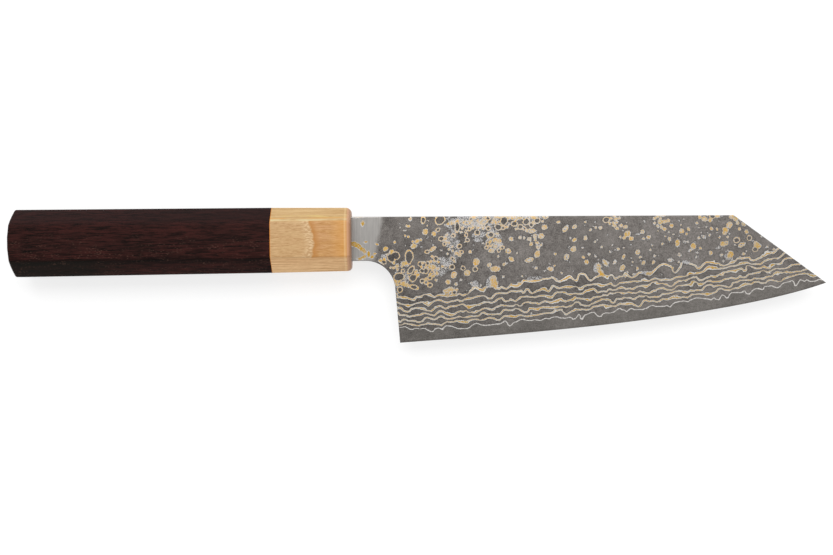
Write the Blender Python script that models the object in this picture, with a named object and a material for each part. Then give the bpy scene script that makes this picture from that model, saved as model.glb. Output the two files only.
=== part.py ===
# Bunka kitchen knife with a laminated blade and an octagonal two-wood handle, lying on its left side.
#
# The knife is drawn from its own datum, the centre of the ferrule's mouth: +X runs along the handle's
# axis to the tip, +Y from the cutting edge to the spine, and +Z out of the blade's right face. An empty
# then sets it down with the middle of its underside at the world's origin.
#
# The blade is a forged three-layer blank: a hard core between two softer claddings, all thinned together
# towards the tip and ground to a bevel that lays the core bare along the edge. The layers run on through
# the neck into a hidden tang, bedded in resin in a slotted dowel, and the dowel ties the ferrule to the body.

import math

import bmesh
import bpy

MM = 0.001

# Blade outline: x from the ferrule's mouth, y from the handle's axis
HEEL_X = 18.7 * MM
HEEL_DROP = 41.1 * MM
EDGE_RUN = 169.1 * MM  # heel to tip, along the handle's axis
EDGE_RISE = 10.5 * MM  # the even part of the edge's climb from heel to tip
EDGE_BELLY = 9.7 * MM  # what the belly adds, growing with the cube of the way
EDGE_SWEEP = 1.45 * MM  # the last upward sweep at the tip
SPINE_HEIGHT = 8.95 * MM  # at the mouth
SPINE_FALL = 1.5 * MM  # from the mouth to the tip's own x
NECK_HEIGHT = 17.45 * MM
TIP_BACK_RUN = 36.4 * MM  # the straight clipped back of the point, along x
TIP_CORNER_RADIUS = 2.0 * MM
CHOIL_RADIUS = 11.7 * MM
HEEL_LEAN = math.radians(4.4)  # of the heel's face, forward from square

# Blade thickness and grind
NECK_THICKNESS = 3.0 * MM
POINT_THICKNESS = 1.1 * MM  # of the unground flats, carried on to the tip
CORE_SHARE = 0.36  # of the whole thickness, the same all along
BEVEL_HEIGHT = 18.5 * MM  # of the ground bevel above the edge
EDGE_THICKNESS = 0.24 * MM  # behind the final edge
FINAL_EDGE_HEIGHT = 0.6 * MM
SPINE_EASE = 0.3 * MM

# Tang
SHOULDER_DEPTH = 3.0 * MM  # how far the neck goes into the ferrule
TANG_LENGTH = 92.0 * MM  # from the shoulders
TANG_HEIGHT = 9.0 * MM  # at the shoulders
TANG_END_HEIGHT = 5.5 * MM
TANG_END_THICKNESS = 1.8 * MM
TANG_END_RADIUS = 1.5 * MM

# Handle
FERRULE_LENGTH = 31.2 * MM
BODY_LENGTH = 102.9 * MM
MOUTH_HEIGHT = 24.8 * MM
MOUTH_THICKNESS = 19.4 * MM
JOINT_HEIGHT = 25.5 * MM
JOINT_THICKNESS = 20.2 * MM
BUTT_HEIGHT = 26.4 * MM
BUTT_THICKNESS = 21.0 * MM
FACET_CUT = 5.75 * MM  # taken off both sides of each corner
ARRIS_RADIUS = 0.6 * MM
MOUTH_RADIUS = 1.8 * MM
BUTT_DOME_RADIUS = 42.0 * MM

# Inside the handle
GLUE_GAP = 0.15 * MM  # round every glued piece that isn't seated on a flat
BEDDING_WALL = 0.4 * MM  # resin beside the tang at its thickest
BEDDING_END = 2.0 * MM  # resin beyond the tang's end
DOWEL_WALL = 0.9 * MM  # outside the slot's corners
DOWEL_END = 4.0 * MM  # solid dowel beyond the slot
MOUTH_WALL = 8.0 * MM  # solid ferrule in front of the dowel's bore

# How finely the round forms are drawn
ARRIS_STEPS = 3
FACET_STEPS = 5
MOUTH_STEPS = 5
DOME_RINGS = (0.84, 0.66, 0.46, 0.24)  # shares of the butt's outline
CORNER_STEPS = 8
CHOIL_STEPS = 20
EDGE_STATIONS = 44
DOWEL_SIDES = 48
MARGIN = 6.0 * MM  # how far a cutter or a guide reaches past what it cuts

# Places that follow from the sizes
TIP_X = HEEL_X + EDGE_RUN
HEEL_Y = -HEEL_DROP
TIP_Y = HEEL_Y + EDGE_RISE + EDGE_BELLY + EDGE_SWEEP
NECK_BOTTOM = SPINE_HEIGHT - NECK_HEIGHT
SHOULDER_X = -SHOULDER_DEPTH
TANG_END_X = SHOULDER_X - TANG_LENGTH
JOINT_X = -FERRULE_LENGTH
BUTT_X = JOINT_X - BODY_LENGTH
SLOT_FRONT_X = SHOULDER_X - GLUE_GAP
SLOT_HEIGHT = TANG_HEIGHT + 2 * (BEDDING_WALL + 2 * GLUE_GAP)
SLOT_THICKNESS = NECK_THICKNESS + 2 * (BEDDING_WALL + 2 * GLUE_GAP)
SLOT_END_X = TANG_END_X - 2 * GLUE_GAP - BEDDING_END
DOWEL_RADIUS = math.hypot(SLOT_HEIGHT, SLOT_THICKNESS) / 2 + DOWEL_WALL
DOWEL_FRONT_X = -MOUTH_WALL - GLUE_GAP
DOWEL_END_X = SLOT_END_X - DOWEL_END


def spine_y(x):
    return SPINE_HEIGHT - SPINE_FALL * x / TIP_X


def edge_y(x):
    """The cutting edge, which also runs on past the heel and the tip as a guide for the grind."""
    way = (x - HEEL_X) / EDGE_RUN
    return HEEL_Y + EDGE_RISE * way + EDGE_BELLY * way**3 + EDGE_SWEEP * way**12


def half_thickness(x):
    """Half the blank's thickness on its flats: it thins from the mouth both to the tip and down the tang."""
    if x < 0:
        share = x / TANG_END_X
        end = TANG_END_THICKNESS
    else:
        share = x / TIP_X
        end = POINT_THICKNESS
    return (NECK_THICKNESS + (end - NECK_THICKNESS) * share) / 2


def core_half(x):
    return CORE_SHARE * half_thickness(x)


def core_line(x):
    """How far above the edge the bevel meets the core's face."""
    behind_edge = EDGE_THICKNESS / 2
    rise = (core_half(x) - behind_edge) / (half_thickness(x) - behind_edge)
    return FINAL_EDGE_HEIGHT + (BEVEL_HEIGHT - FINAL_EDGE_HEIGHT) * rise


def handle_size(x):
    """(height, thickness) of the octagon at x, which tapers evenly along each wood."""
    if x > JOINT_X:
        share = x / JOINT_X
        front, back = (MOUTH_HEIGHT, MOUTH_THICKNESS), (JOINT_HEIGHT, JOINT_THICKNESS)
    else:
        share = (x - JOINT_X) / (BUTT_X - JOINT_X)
        front, back = (JOINT_HEIGHT, JOINT_THICKNESS), (BUTT_HEIGHT, BUTT_THICKNESS)
    return tuple(a + (b - a) * share for a, b in zip(front, back))


def rounded(corners):
    """The outline through (x, y, radius, steps) corners, each replaced by an arc that touches both sides."""
    points = []
    for i, (x, y, radius, steps) in enumerate(corners):
        if radius == 0:
            points.append((x, y))
            continue
        before, after = corners[i - 1], corners[(i + 1) % len(corners)]
        back = math.atan2(before[1] - y, before[0] - x)
        ahead = math.atan2(after[1] - y, after[0] - x)
        opening = (ahead - back + math.pi) % (2 * math.pi) - math.pi
        middle = back + opening / 2
        reach = radius / math.sin(abs(opening) / 2)
        centre = (x + reach * math.cos(middle), y + reach * math.sin(middle))
        swing = math.copysign(math.pi - abs(opening), opening)
        first = middle + math.pi + swing / 2
        for step in range(steps + 1):
            angle = first - swing * step / steps
            points.append((centre[0] + radius * math.cos(angle), centre[1] + radius * math.sin(angle)))
    return points


def octagon(height, thickness, inset=0.0):
    """(y, z) points round the handle's section, with eased arrises and points along each facet."""
    top, side, cut = height / 2 - inset, thickness / 2 - inset, FACET_CUT - inset * (2 - math.sqrt(2))
    quarter = [(top - cut, side), (top, side - cut)]
    corners = quarter + [(y, -z) for y, z in reversed(quarter)]
    corners += [(-y, -z) for y, z in quarter] + [(-y, z) for y, z in reversed(quarter)]
    eased = rounded([(y, z, ARRIS_RADIUS, ARRIS_STEPS) for y, z in corners])
    points = []
    for i, (y, z) in enumerate(eased):
        points.append((y, z))
        if i % (ARRIS_STEPS + 1) == ARRIS_STEPS:  # the facet that starts here
            next_y, next_z = eased[(i + 1) % len(eased)]
            for step in range(1, FACET_STEPS):
                share = step / FACET_STEPS
                points.append((y + (next_y - y) * share, z + (next_z - z) * share))
    return points


def loft(name, rings, peak=None):
    """A closed mesh through rings of as many points each, whose last ring may close in a fan to a peak."""
    shape = bmesh.new()
    loops = [[shape.verts.new(point) for point in ring] for ring in rings]
    for one, other in zip(loops, loops[1:]):
        for i in range(len(one)):
            j = (i + 1) % len(one)
            shape.faces.new((one[i], one[j], other[j], other[i]))
    shape.faces.new(reversed(loops[0]))
    last = loops[-1]
    if peak:
        middle = shape.verts.new(peak)
        for i in range(len(last)):
            shape.faces.new((last[i], last[(i + 1) % len(last)], middle))
    else:
        shape.faces.new(last)
    bmesh.ops.recalc_face_normals(shape, faces=shape.faces)
    mesh = bpy.data.meshes.new(name)
    shape.to_mesh(mesh)
    shape.free()
    return mesh


def box(name, low, high):
    corners = [(low[1], low[2]), (high[1], low[2]), (high[1], high[2]), (low[1], high[2])]
    return loft(name, [[(x, y, z) for y, z in corners] for x in (low[0], high[0])])


def rod(name, radius, x_low, x_high):
    turns = [2 * math.pi * side / DOWEL_SIDES for side in range(DOWEL_SIDES)]
    circle = [(radius * math.cos(turn), radius * math.sin(turn)) for turn in turns]
    return loft(name, [[(x, y, z) for y, z in circle] for x in (x_low, x_high)])


def add(mesh, knife, material=None):
    """An object for the mesh: a piece of the knife, or a hidden cutter or guide if it has no material."""
    made = bpy.data.objects.new(mesh.name, mesh)
    bpy.context.scene.collection.objects.link(made)
    made.parent = knife
    if material:
        mesh.materials.append(material)
    else:
        made.hide_render = True
        made.display_type = "WIRE"
    return made


def combine(piece, operation, other):
    modifier = piece.modifiers.new(other.name, "BOOLEAN")
    modifier.operation = operation
    modifier.solver = "EXACT"
    modifier.object = other


def finish(name, colour, roughness, metallic):
    made = bpy.data.materials.new(name)
    made.use_nodes = True
    shader = made.node_tree.nodes["Principled BSDF"]
    shader.inputs["Base Color"].default_value = (*colour, 1.0)
    shader.inputs["Roughness"].default_value = roughness
    shader.inputs["Metallic"].default_value = metallic
    made.diffuse_color = (*colour, 1.0)
    return made


def blade_profile():
    """The blank's outline as a thick plate. Below the edge it reaches on, so that the grind ends it there."""
    neck_to_heel = math.tan(HEEL_LEAN) * (NECK_BOTTOM - HEEL_Y)
    heel_foot = MARGIN * math.tan(HEEL_LEAN)
    corner_x = TIP_X - TIP_BACK_RUN
    back_slope = (TIP_Y - spine_y(corner_x)) / TIP_BACK_RUN
    tang_top, tang_end = TANG_HEIGHT / 2, TANG_END_HEIGHT / 2
    outline = rounded(
        [
            (TANG_END_X, -tang_end, TANG_END_RADIUS, CORNER_STEPS),
            (SHOULDER_X, -tang_top, 0, 0),
            (SHOULDER_X, NECK_BOTTOM, 0, 0),
            (HEEL_X - neck_to_heel, NECK_BOTTOM, CHOIL_RADIUS, CHOIL_STEPS),
            (HEEL_X + heel_foot, HEEL_Y - MARGIN, 0, 0),
            (TIP_X + MARGIN, HEEL_Y - MARGIN, 0, 0),
            (TIP_X + MARGIN, TIP_Y + back_slope * MARGIN, 0, 0),
            (corner_x, spine_y(corner_x), TIP_CORNER_RADIUS, CORNER_STEPS),
            (SHOULDER_X, spine_y(SHOULDER_X), 0, 0),
            (SHOULDER_X, tang_top, 0, 0),
            (TANG_END_X, tang_end, TANG_END_RADIUS, CORNER_STEPS),
        ]
    )
    faces = (-NECK_THICKNESS, NECK_THICKNESS)
    return loft("blade_profile", [[(x, y, z) for x, y in outline] for z in faces])


def stations():
    """Where the blank's sections stand: past the tang's end, then from the mouth on, closer at the tip."""
    first = TANG_END_X - MARGIN
    run = TIP_X + MARGIN
    return [first] + [run * (1 - (1 - i / EDGE_STATIONS) ** 1.4) for i in range(EDGE_STATIONS + 1)]


def core_section(x):
    """The core at x: two flats, the bare part of the bevel, and the final edge."""
    half, edge, top = core_half(x), edge_y(x), SPINE_HEIGHT + MARGIN
    right = [(top, half), (edge + core_line(x), half), (edge + FINAL_EDGE_HEIGHT, EDGE_THICKNESS / 2)]
    return [*right, (edge, 0.0), *[(y, -z) for y, z in reversed(right)]]


def cladding_section(x):
    """The right cladding at x: seated on the core's flat, and ground away to nothing where the core shows."""
    half, outside, edge, top = core_half(x), half_thickness(x), edge_y(x), SPINE_HEIGHT + MARGIN
    return [(top, half), (top, outside), (edge + BEVEL_HEIGHT, outside), (edge + core_line(x), half)]


def cut_to(piece, profile):
    """Cuts the ground blank to the blade's outline, for good, so that its edges can be worked on."""
    combine(piece, "INTERSECT", profile)
    bpy.context.view_layer.update()
    cut = bpy.data.meshes.new_from_object(piece.evaluated_get(bpy.context.evaluated_depsgraph_get()))
    piece.modifiers.clear()
    piece.data = cut


def ease_spine(piece):
    """Rounds the cladding's outer arris along the spine, from the neck to the clipped point."""
    shape = bmesh.new()
    shape.from_mesh(piece.data)
    bmesh.ops.dissolve_limit(shape, angle_limit=math.radians(0.02), verts=shape.verts, edges=shape.edges)
    last_x = TIP_X - TIP_BACK_RUN
    arris = [
        edge
        for edge in shape.edges
        if len(edge.link_faces) == 2
        and all(v.co.x < last_x and v.co.y > spine_y(v.co.x) - SPINE_EASE for v in edge.verts)
        and all(abs(v.co.z) > half_thickness(v.co.x) - SPINE_EASE / 2 for v in edge.verts)
        and edge.calc_length() > SPINE_EASE
    ]
    bmesh.ops.bevel(shape, geom=arris, offset=SPINE_EASE, segments=2, affect="EDGES", profile=0.5)
    shape.to_mesh(piece.data)
    shape.free()


def make_blade(knife):
    profile = add(blade_profile(), knife)
    core_steel = finish("core_steel", (0.125, 0.118, 0.112), 0.42, 1.0)
    clad_metal = finish("clad_metal", (0.160, 0.140, 0.105), 0.46, 1.0)
    core_rings = [[(x, y, z) for y, z in core_section(x)] for x in stations()]
    core = add(loft("blade_core", core_rings), knife, core_steel)
    cut_to(core, profile)
    for side, name in ((1, "cladding_right"), (-1, "cladding_left")):
        rings = [[(x, y, side * z) for y, z in cladding_section(x)] for x in stations()]
        cladding = add(loft(name, rings), knife, clad_metal)
        cut_to(cladding, profile)
        ease_spine(cladding)


def ring_at(x, inset=0.0):
    return [(x, y, z) for y, z in octagon(*handle_size(x), inset)]


def dome_x(y, z):
    """The butt's low dome, a piece of a sphere whose peak lies on the handle's axis."""
    return BUTT_X + BUTT_DOME_RADIUS - math.sqrt(BUTT_DOME_RADIUS**2 - y**2 - z**2)


def handle_body_mesh():
    """The handle body: from its flat joint back to the butt, then over the butt's low dome."""
    # The rim follows the dome, so each of its points takes the taper's size at its own x
    rim_x = [dome_x(y, z) for y, z in octagon(BUTT_HEIGHT, BUTT_THICKNESS)]
    rim = [ring_at(x)[i] for i, x in enumerate(rim_x)]
    rings = [ring_at(JOINT_X), rim]
    for share in DOME_RINGS:
        rings.append([(dome_x(y * share, z * share), y * share, z * share) for _, y, z in rim])
    return loft("handle_body", rings, (BUTT_X, 0.0, 0.0))


def ferrule_mesh():
    """The ferrule: from the joint to the mouth, whose outer arris is rounded over."""
    rings = [ring_at(JOINT_X)]
    for step in range(MOUTH_STEPS + 1):
        turn = math.pi / 2 * step / MOUTH_STEPS
        x = MOUTH_RADIUS * (math.sin(turn) - 1)
        rings.append(ring_at(x, MOUTH_RADIUS * (1 - math.cos(turn))))
    return loft("ferrule", rings)


def slot_box(name, x_low, x_high, play=0.0):
    """The straight slot for the tang, or with a negative play what fits into it."""
    height, thickness = SLOT_HEIGHT / 2 + play, SLOT_THICKNESS / 2 + play
    return box(name, (x_low, -height, -thickness), (x_high, height, thickness))


def tang_socket():
    """What the tang takes up in its bedding: the tapered tang with a glue gap all round."""

    def section(x, tang_x, height):
        top = height / 2 + GLUE_GAP
        side = half_thickness(tang_x) + GLUE_GAP
        return [(x, -top, -side), (x, top, -side), (x, top, side), (x, -top, side)]

    front = section(SHOULDER_X + MARGIN, SHOULDER_X, TANG_HEIGHT)
    shoulders = section(SHOULDER_X, SHOULDER_X, TANG_HEIGHT)
    end = section(TANG_END_X - GLUE_GAP, TANG_END_X, TANG_END_HEIGHT)
    return loft("tang_socket", [front, shoulders, end])


def make_handle(knife):
    dark_wood = finish("dark_wood", (0.036, 0.018, 0.015), 0.5, 0.0)
    pale_wood = finish("pale_wood", (0.62, 0.40, 0.19), 0.45, 0.0)
    plain_wood = finish("plain_wood", (0.55, 0.42, 0.27), 0.6, 0.0)
    resin = finish("resin", (0.30, 0.22, 0.12), 0.35, 0.0)
    bore_radius = DOWEL_RADIUS + GLUE_GAP
    bore = add(rod("dowel_bore", bore_radius, DOWEL_END_X - GLUE_GAP, -MOUTH_WALL), knife)
    slot = add(slot_box("tang_slot", SLOT_END_X - GLUE_GAP, SLOT_FRONT_X), knife)
    neck_side = NECK_THICKNESS / 2 + GLUE_GAP
    neck_low = (SLOT_FRONT_X, NECK_BOTTOM - GLUE_GAP, -neck_side)
    neck_high = (MARGIN, spine_y(SHOULDER_X) + GLUE_GAP, neck_side)
    pocket = add(box("neck_pocket", neck_low, neck_high), knife)
    # The ferrule's own slot runs from the bottom of the neck's pocket into the dowel's bore
    throat = add(slot_box("ferrule_throat", DOWEL_FRONT_X - MARGIN, SLOT_FRONT_X), knife)

    body = add(handle_body_mesh(), knife, dark_wood)
    combine(body, "DIFFERENCE", bore)
    ferrule = add(ferrule_mesh(), knife, pale_wood)
    for cutter in (bore, throat, pocket):
        combine(ferrule, "DIFFERENCE", cutter)
    dowel = add(rod("tang_dowel", DOWEL_RADIUS, DOWEL_END_X, DOWEL_FRONT_X), knife, plain_wood)
    combine(dowel, "DIFFERENCE", slot)
    bedding = add(slot_box("tang_bedding", SLOT_END_X, SLOT_FRONT_X, -GLUE_GAP), knife, resin)
    combine(bedding, "DIFFERENCE", add(tang_socket(), knife))


def shade_round(knife):
    for piece in knife.children:
        piece.data.shade_smooth()
        piece.data.set_sharp_from_angle(angle=math.radians(25))


def main():
    for old in list(bpy.data.objects):
        bpy.data.objects.remove(old, do_unlink=True)
    knife = bpy.data.objects.new("knife", None)
    bpy.context.scene.collection.objects.link(knife)
    highest_y = max(BUTT_HEIGHT / 2, SPINE_HEIGHT)
    knife.location = (-(TIP_X + BUTT_X) / 2, -(highest_y + HEEL_Y) / 2, BUTT_THICKNESS / 2)
    bpy.context.view_layer.update()
    make_blade(knife)
    make_handle(knife)
    shade_round(knife)


main()
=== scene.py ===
import math

import bmesh
import bpy
import numpy as np
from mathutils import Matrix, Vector


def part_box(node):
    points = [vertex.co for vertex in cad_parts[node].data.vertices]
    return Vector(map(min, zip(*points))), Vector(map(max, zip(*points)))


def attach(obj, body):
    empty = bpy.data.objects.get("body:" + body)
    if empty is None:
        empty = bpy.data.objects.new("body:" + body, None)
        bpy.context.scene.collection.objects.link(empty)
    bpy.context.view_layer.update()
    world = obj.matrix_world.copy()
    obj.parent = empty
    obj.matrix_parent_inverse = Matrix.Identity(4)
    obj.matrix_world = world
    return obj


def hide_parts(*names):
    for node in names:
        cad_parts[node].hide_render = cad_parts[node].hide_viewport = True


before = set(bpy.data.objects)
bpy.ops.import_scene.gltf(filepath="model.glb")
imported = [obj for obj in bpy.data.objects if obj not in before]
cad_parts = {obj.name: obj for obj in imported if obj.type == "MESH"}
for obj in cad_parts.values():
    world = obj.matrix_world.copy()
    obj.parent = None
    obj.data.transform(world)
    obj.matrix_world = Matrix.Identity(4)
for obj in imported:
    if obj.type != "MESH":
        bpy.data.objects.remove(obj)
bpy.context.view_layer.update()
print("frame loaded:", sorted(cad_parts))

mm = 0.001
farAway = 99.0                      # mm, more than any distance across the blade
sharpAngle = math.radians(32)       # edges that turn more than this stay sharp

# The knife's own zero point is the middle of the ferrule's mouth: x to the tip, y to the spine
ferruleLow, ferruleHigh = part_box("ferrule")
datum = np.array([ferruleHigh.x, (ferruleLow.y + ferruleHigh.y) / 2, (ferruleLow.z + ferruleHigh.z) / 2])


def inWorld(points):
    # millimetres from the zero point, as metres in the frame
    return np.asarray(points, float) * mm + datum


def linear(hexColour):
    # an sRGB hex colour as the linear values that a shader takes
    channels = [int(hexColour[i:i + 2], 16) / 255 for i in (1, 3, 5)]
    return tuple(c / 12.92 if c <= 0.04045 else ((c + 0.055) / 1.055) ** 2.4 for c in channels) + (1.0,)


def addNode(tree, kind, inputs=(), **settings):
    # inputs are values, other nodes (their first output in use) or output sockets
    node = tree.nodes.new(kind)
    for name, value in settings.items():
        setattr(node, name, value)
    for key, value in dict(inputs).items():
        if isinstance(value, bpy.types.Node):
            value = next(output for output in value.outputs if output.enabled)
        if isinstance(value, bpy.types.NodeSocket):
            tree.links.new(value, node.inputs[key])
        else:
            node.inputs[key].default_value = value
    return node


def newMaterial(name):
    material = bpy.data.materials.new(name)
    material.use_nodes = True
    material.node_tree.nodes.clear()
    return material, material.node_tree


def addObject(name, data):
    added = bpy.data.objects.new(name, data)
    bpy.context.scene.collection.objects.link(added)
    return added


def addPiece(name, mesh, material, node):
    # the handle's meshes come with their material, and the blade's are given theirs here
    piece = addObject(name, mesh)
    if material is not None:
        mesh.materials.clear()
        mesh.materials.append(material)
    mesh.set_sharp_from_angle(angle=sharpAngle)
    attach(piece, "root")
    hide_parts(node)
    return piece


# Camera: square above the blade, the photograph's frame; millimetres, and the turn in degrees

view = {"centreX": 25.5, "centreY": -15.33, "above": 430.0, "turn": -0.73, "lens": 46.9, "sensor": 36.0}
photoSize = (833, 555)

cameraData = bpy.data.cameras.new("camera")
cameraData.sensor_width = view["sensor"]
cameraData.lens = view["lens"]
cameraData.clip_start = 0.01
cameraData.clip_end = 10.0
camera = addObject("camera", cameraData)
camera.location = inWorld((view["centreX"], view["centreY"], view["above"]))
camera.rotation_euler = (0, 0, math.radians(view["turn"]))
bpy.context.scene.camera = camera


def onBlade(across, down):
    # the place on the blade, in millimetres from the zero point, that shows at a pixel of the photograph
    size = view["above"] * view["sensor"] / view["lens"] / photoSize[0]
    turn = math.radians(view["turn"])
    right = size * (across - photoSize[0] / 2)
    up = size * (photoSize[1] / 2 - down)
    return (view["centreX"] + right * math.cos(turn) - up * math.sin(turn),
            view["centreY"] + right * math.sin(turn) + up * math.cos(turn))


print("camera set")


# Blade: outline and grind, in millimetres from the zero point

blade = {
    "heelX": 18.7,
    "heelDrop": 41.1,
    "edgeRun": 169.1,
    "edgeRise": 10.5,
    "edgeBelly": 9.7,
    "edgeSweep": 1.45,
    "spineHeight": 8.95,
    "spineFall": 1.5,
    "neckHeight": 17.45,
    "tipBackRun": 36.4,
    "tipCornerRadius": 2.0,
    "choilRadius": 11.7,
    "heelLean": 4.4,            # degrees
    "neckThickness": 3.0,
    "pointThickness": 1.1,
    "coreShare": 0.36,
    "coreSettles": 4.0,         # about this far above its border the core has come to that share
    "bevelHeight": 18.5,
    "bevelSoftness": 0.02,      # how gently the flat turns into the bevel
    "edgeThickness": 0.24,
    "finalEdgeHeight": 0.6,
    "edgeHalf": 0.006,          # half of what is left at the very edge
    "ease": 0.28,               # radius of the softened arrises
    "shoulderDepth": 3.0,
    "tangLength": 92.0,
    "tangHeight": 9.0,
    "tangEndHeight": 5.5,
    "tangEndThickness": 1.8,
}
tipX = blade["heelX"] + blade["edgeRun"]
neckBottom = blade["spineHeight"] - blade["neckHeight"]
tangEndX = -blade["shoulderDepth"] - blade["tangLength"]
cornerX = tipX - blade["tipBackRun"]


def edgeY(x):
    way = (x - blade["heelX"]) / blade["edgeRun"]
    sweep = blade["edgeSweep"] * np.clip(way, 0, 2) ** 12
    rise = blade["edgeRise"] * way + blade["edgeBelly"] * way ** 3 + sweep
    return rise - blade["heelDrop"]


def spineY(x):
    return blade["spineHeight"] - blade["spineFall"] * x / tipX


tipY = float(edgeY(tipX))
cornerY = float(spineY(cornerX))
backSlope = (tipY - cornerY) / blade["tipBackRun"]
heelSlope = math.tan(math.radians(blade["heelLean"]))


def heelX(y):
    return blade["heelX"] - (y + blade["heelDrop"]) * heelSlope


def backY(x):
    return cornerY + (x - cornerX) * backSlope


def halfThickness(x):
    ahead = blade["pointThickness"] - blade["neckThickness"]
    behind = blade["tangEndThickness"] - blade["neckThickness"]
    return (blade["neckThickness"] + np.where(x > 0, ahead * x / tipX, behind * x / tangEndX)) / 2


def arcPoints(centre, radius, angles):
    return np.stack([centre[0] + radius * np.cos(angles), centre[1] + radius * np.sin(angles)], 1)


# The choil's arc touches the neck's underside and the heel's face
arcSweep = math.pi / 2 - math.radians(blade["heelLean"])
neckCornerX = float(heelX(neckBottom))
arcReach = blade["choilRadius"] * math.tan(arcSweep / 2)
arcCentre = (neckCornerX - arcReach, neckBottom - blade["choilRadius"])
arcLine = arcPoints(arcCentre, blade["choilRadius"], np.linspace(math.pi / 2, math.pi / 2 - arcSweep, 41))

# The clipped point's corner is rounded too
spineAngle = -math.atan(blade["spineFall"] / tipX)
cornerTurn = math.atan(-backSlope) + spineAngle
cornerReach = blade["tipCornerRadius"] * math.tan(cornerTurn / 2)
cornerStart = (cornerX - cornerReach, float(spineY(cornerX - cornerReach)))
cornerCentre = (cornerStart[0] + blade["tipCornerRadius"] * math.sin(spineAngle),
                cornerStart[1] - blade["tipCornerRadius"] * math.cos(spineAngle))
cornerLine = arcPoints(cornerCentre, blade["tipCornerRadius"],
                       math.pi / 2 + spineAngle - np.linspace(0, cornerTurn, 9))


def rimDistance(x, y):
    # how far a point of the blade lies from its spine, back, neck, choil or heel, but not from the edge
    fromSpine = spineY(x) - y
    fromBack = (backY(x) - y) / math.hypot(1, backSlope)
    fromHeel = np.where(y < arcCentre[1], (x - heelX(y)) / math.hypot(1, heelSlope), farAway)
    inArc = (x > arcCentre[0]) & (y > arcCentre[1] - 1.0)
    offArc = np.hypot(x - arcCentre[0], y - arcCentre[1]) - blade["choilRadius"]
    fromArc = np.where(inArc, offArc, farAway)
    fromNeck = np.where(x <= arcCentre[0], y - neckBottom, farAway)
    return np.maximum(np.minimum.reduce([fromSpine, fromBack, fromHeel, fromArc, fromNeck]), 0)


def softMax(a, b, width):
    # the greater of two values, with the change from one to the other rounded over a width
    share = np.clip(0.5 + 0.5 * (b - a) / width, 0, 1)
    return a * (1 - share) + b * share + width * share * (1 - share)


def faceHeight(x, y):
    # the ground face's distance from the blade's middle plane
    flat = halfThickness(x)
    above = y - edgeY(x)
    behindEdge = blade["edgeThickness"] / 2
    finalEdge = blade["finalEdgeHeight"]
    bevel = behindEdge + (flat - behindEdge) / (blade["bevelHeight"] - finalEdge) * (above - finalEdge)
    toEdge = blade["edgeHalf"] + (behindEdge - blade["edgeHalf"]) * np.maximum(above, 0) / finalEdge
    face = -softMax(-np.where(above < finalEdge, toEdge, bevel), -flat, blade["bevelSoftness"])
    ease = np.minimum(blade["ease"], 0.6 * face)        # less where the face is thin
    inside = np.clip(ease - rimDistance(x, y), 0, ease)
    eased = face - (ease - np.sqrt(np.maximum(ease ** 2 - inside ** 2, 0)))
    return np.where(x < -blade["shoulderDepth"], flat, eased)


# Forged stack: how deep the ground face reaches into the layers. At every whole number it crosses a
# sheet of brass between two of nickel, with steel between those, and at coreDepth it meets the core.

stack = {
    "seed": 3,
    "leftSeed": 41,
    "coreDepth": 7,
    "nickelHalf": 0.132,        # half of a nickel, brass, nickel sheet's share of the depth
    "brassHalf": 0.043,
    "coreNickelHalf": 0.052,
    "borderBelow": 0.16,        # how much deeper than the core's nickel line the cladding ends
    "bevelSlope": 0.35,         # how steeply the bevel cuts down beside each line, in depth for each mm
    "bevelSoftness": 0.06,      # over this depth the flat passes into the bevel
    "flatDepth": 0.46,
    "leastGap": 0.55,           # mm, between two sheets' lines
    "ringDepth": (1.40, 1.55),  # how deep a dimple cuts: to the steel below the first sheet,
    "heartDepth": (0.98, 1.15), # to its brass,
    "speckDepth": (0.88, 0.94), # or only to its nickel
    "largeHeart": 1.15,         # mm, radius from which a heart is cut more evenly
    "steepFrom": 1.2,           # a dimple cut deeper than this has steep sides,
    "deepSlope": 0.65,          # in depth for each mm,
    "shallowSlope": 0.40,       # and any other has these
    "bowlSoftness": 0.05,       # how gently its sides turn into its floor,
    "rimSoftness": 0.03,        # and the face around it into its sides
    "struckDepth": 0.72,        # a face counts as struck where the dimple reaches this depth
    "struckAbove": 0.25,        # and less than this much above what the grinding reached
    "dimpleBroken": 0.45,       # how finely broken up the sheets are in a dimple; 1 in a level place
    "groupSpacing": 0.8,        # least distance in a group, as a share of the radii
    "groupTries": 12,
    "levelReach": 1.15,         # where a level place ends, as a share of its size squared,
    "levelFade": 0.55,          # over how much of that it fades,
    "levelMost": 0.93,          # and the depth it never passes
    "swellReach": 2.2,          # how far a swelling is worked out, in radii
    "swellMost": 0.75,
    "knots": 110,
    "knotRise": (3.0, 19.5),    # mm above the edge
    "knotRadius": (0.35, 0.8),
    "knotPush": (0.15, 0.45),   # in depth
    "knotStretch": (0.8, 1.8),
    # ripples: height, length along and up in mm, and what is added to the seed
    "lineRipple": ((0.08, 1.8, 1.6, 3), (0.10, 0.7, 0.7, 8)),
    "flatRipple": ((0.08, 7.0, 6.0, 5),),
    "levelRipple": ((0.07, 1.5, 1.5, 11), (0.05, 4.0, 3.0, 15)),
    "levelBorder": ((0.45, 3.4, 3.0, 13), (0.35, 1.3, 1.3, 14)),
    "lumpsAlong": ((0.15, 1.5, 1.5, 30), (0.09, 0.7, 0.7, 31)),
    "lumpsUp": ((0.15, 1.5, 1.5, 32), (0.09, 0.7, 0.7, 33)),
    "fineRipple": ((0.008, 0.5, 0.5, 6),),
}

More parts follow.
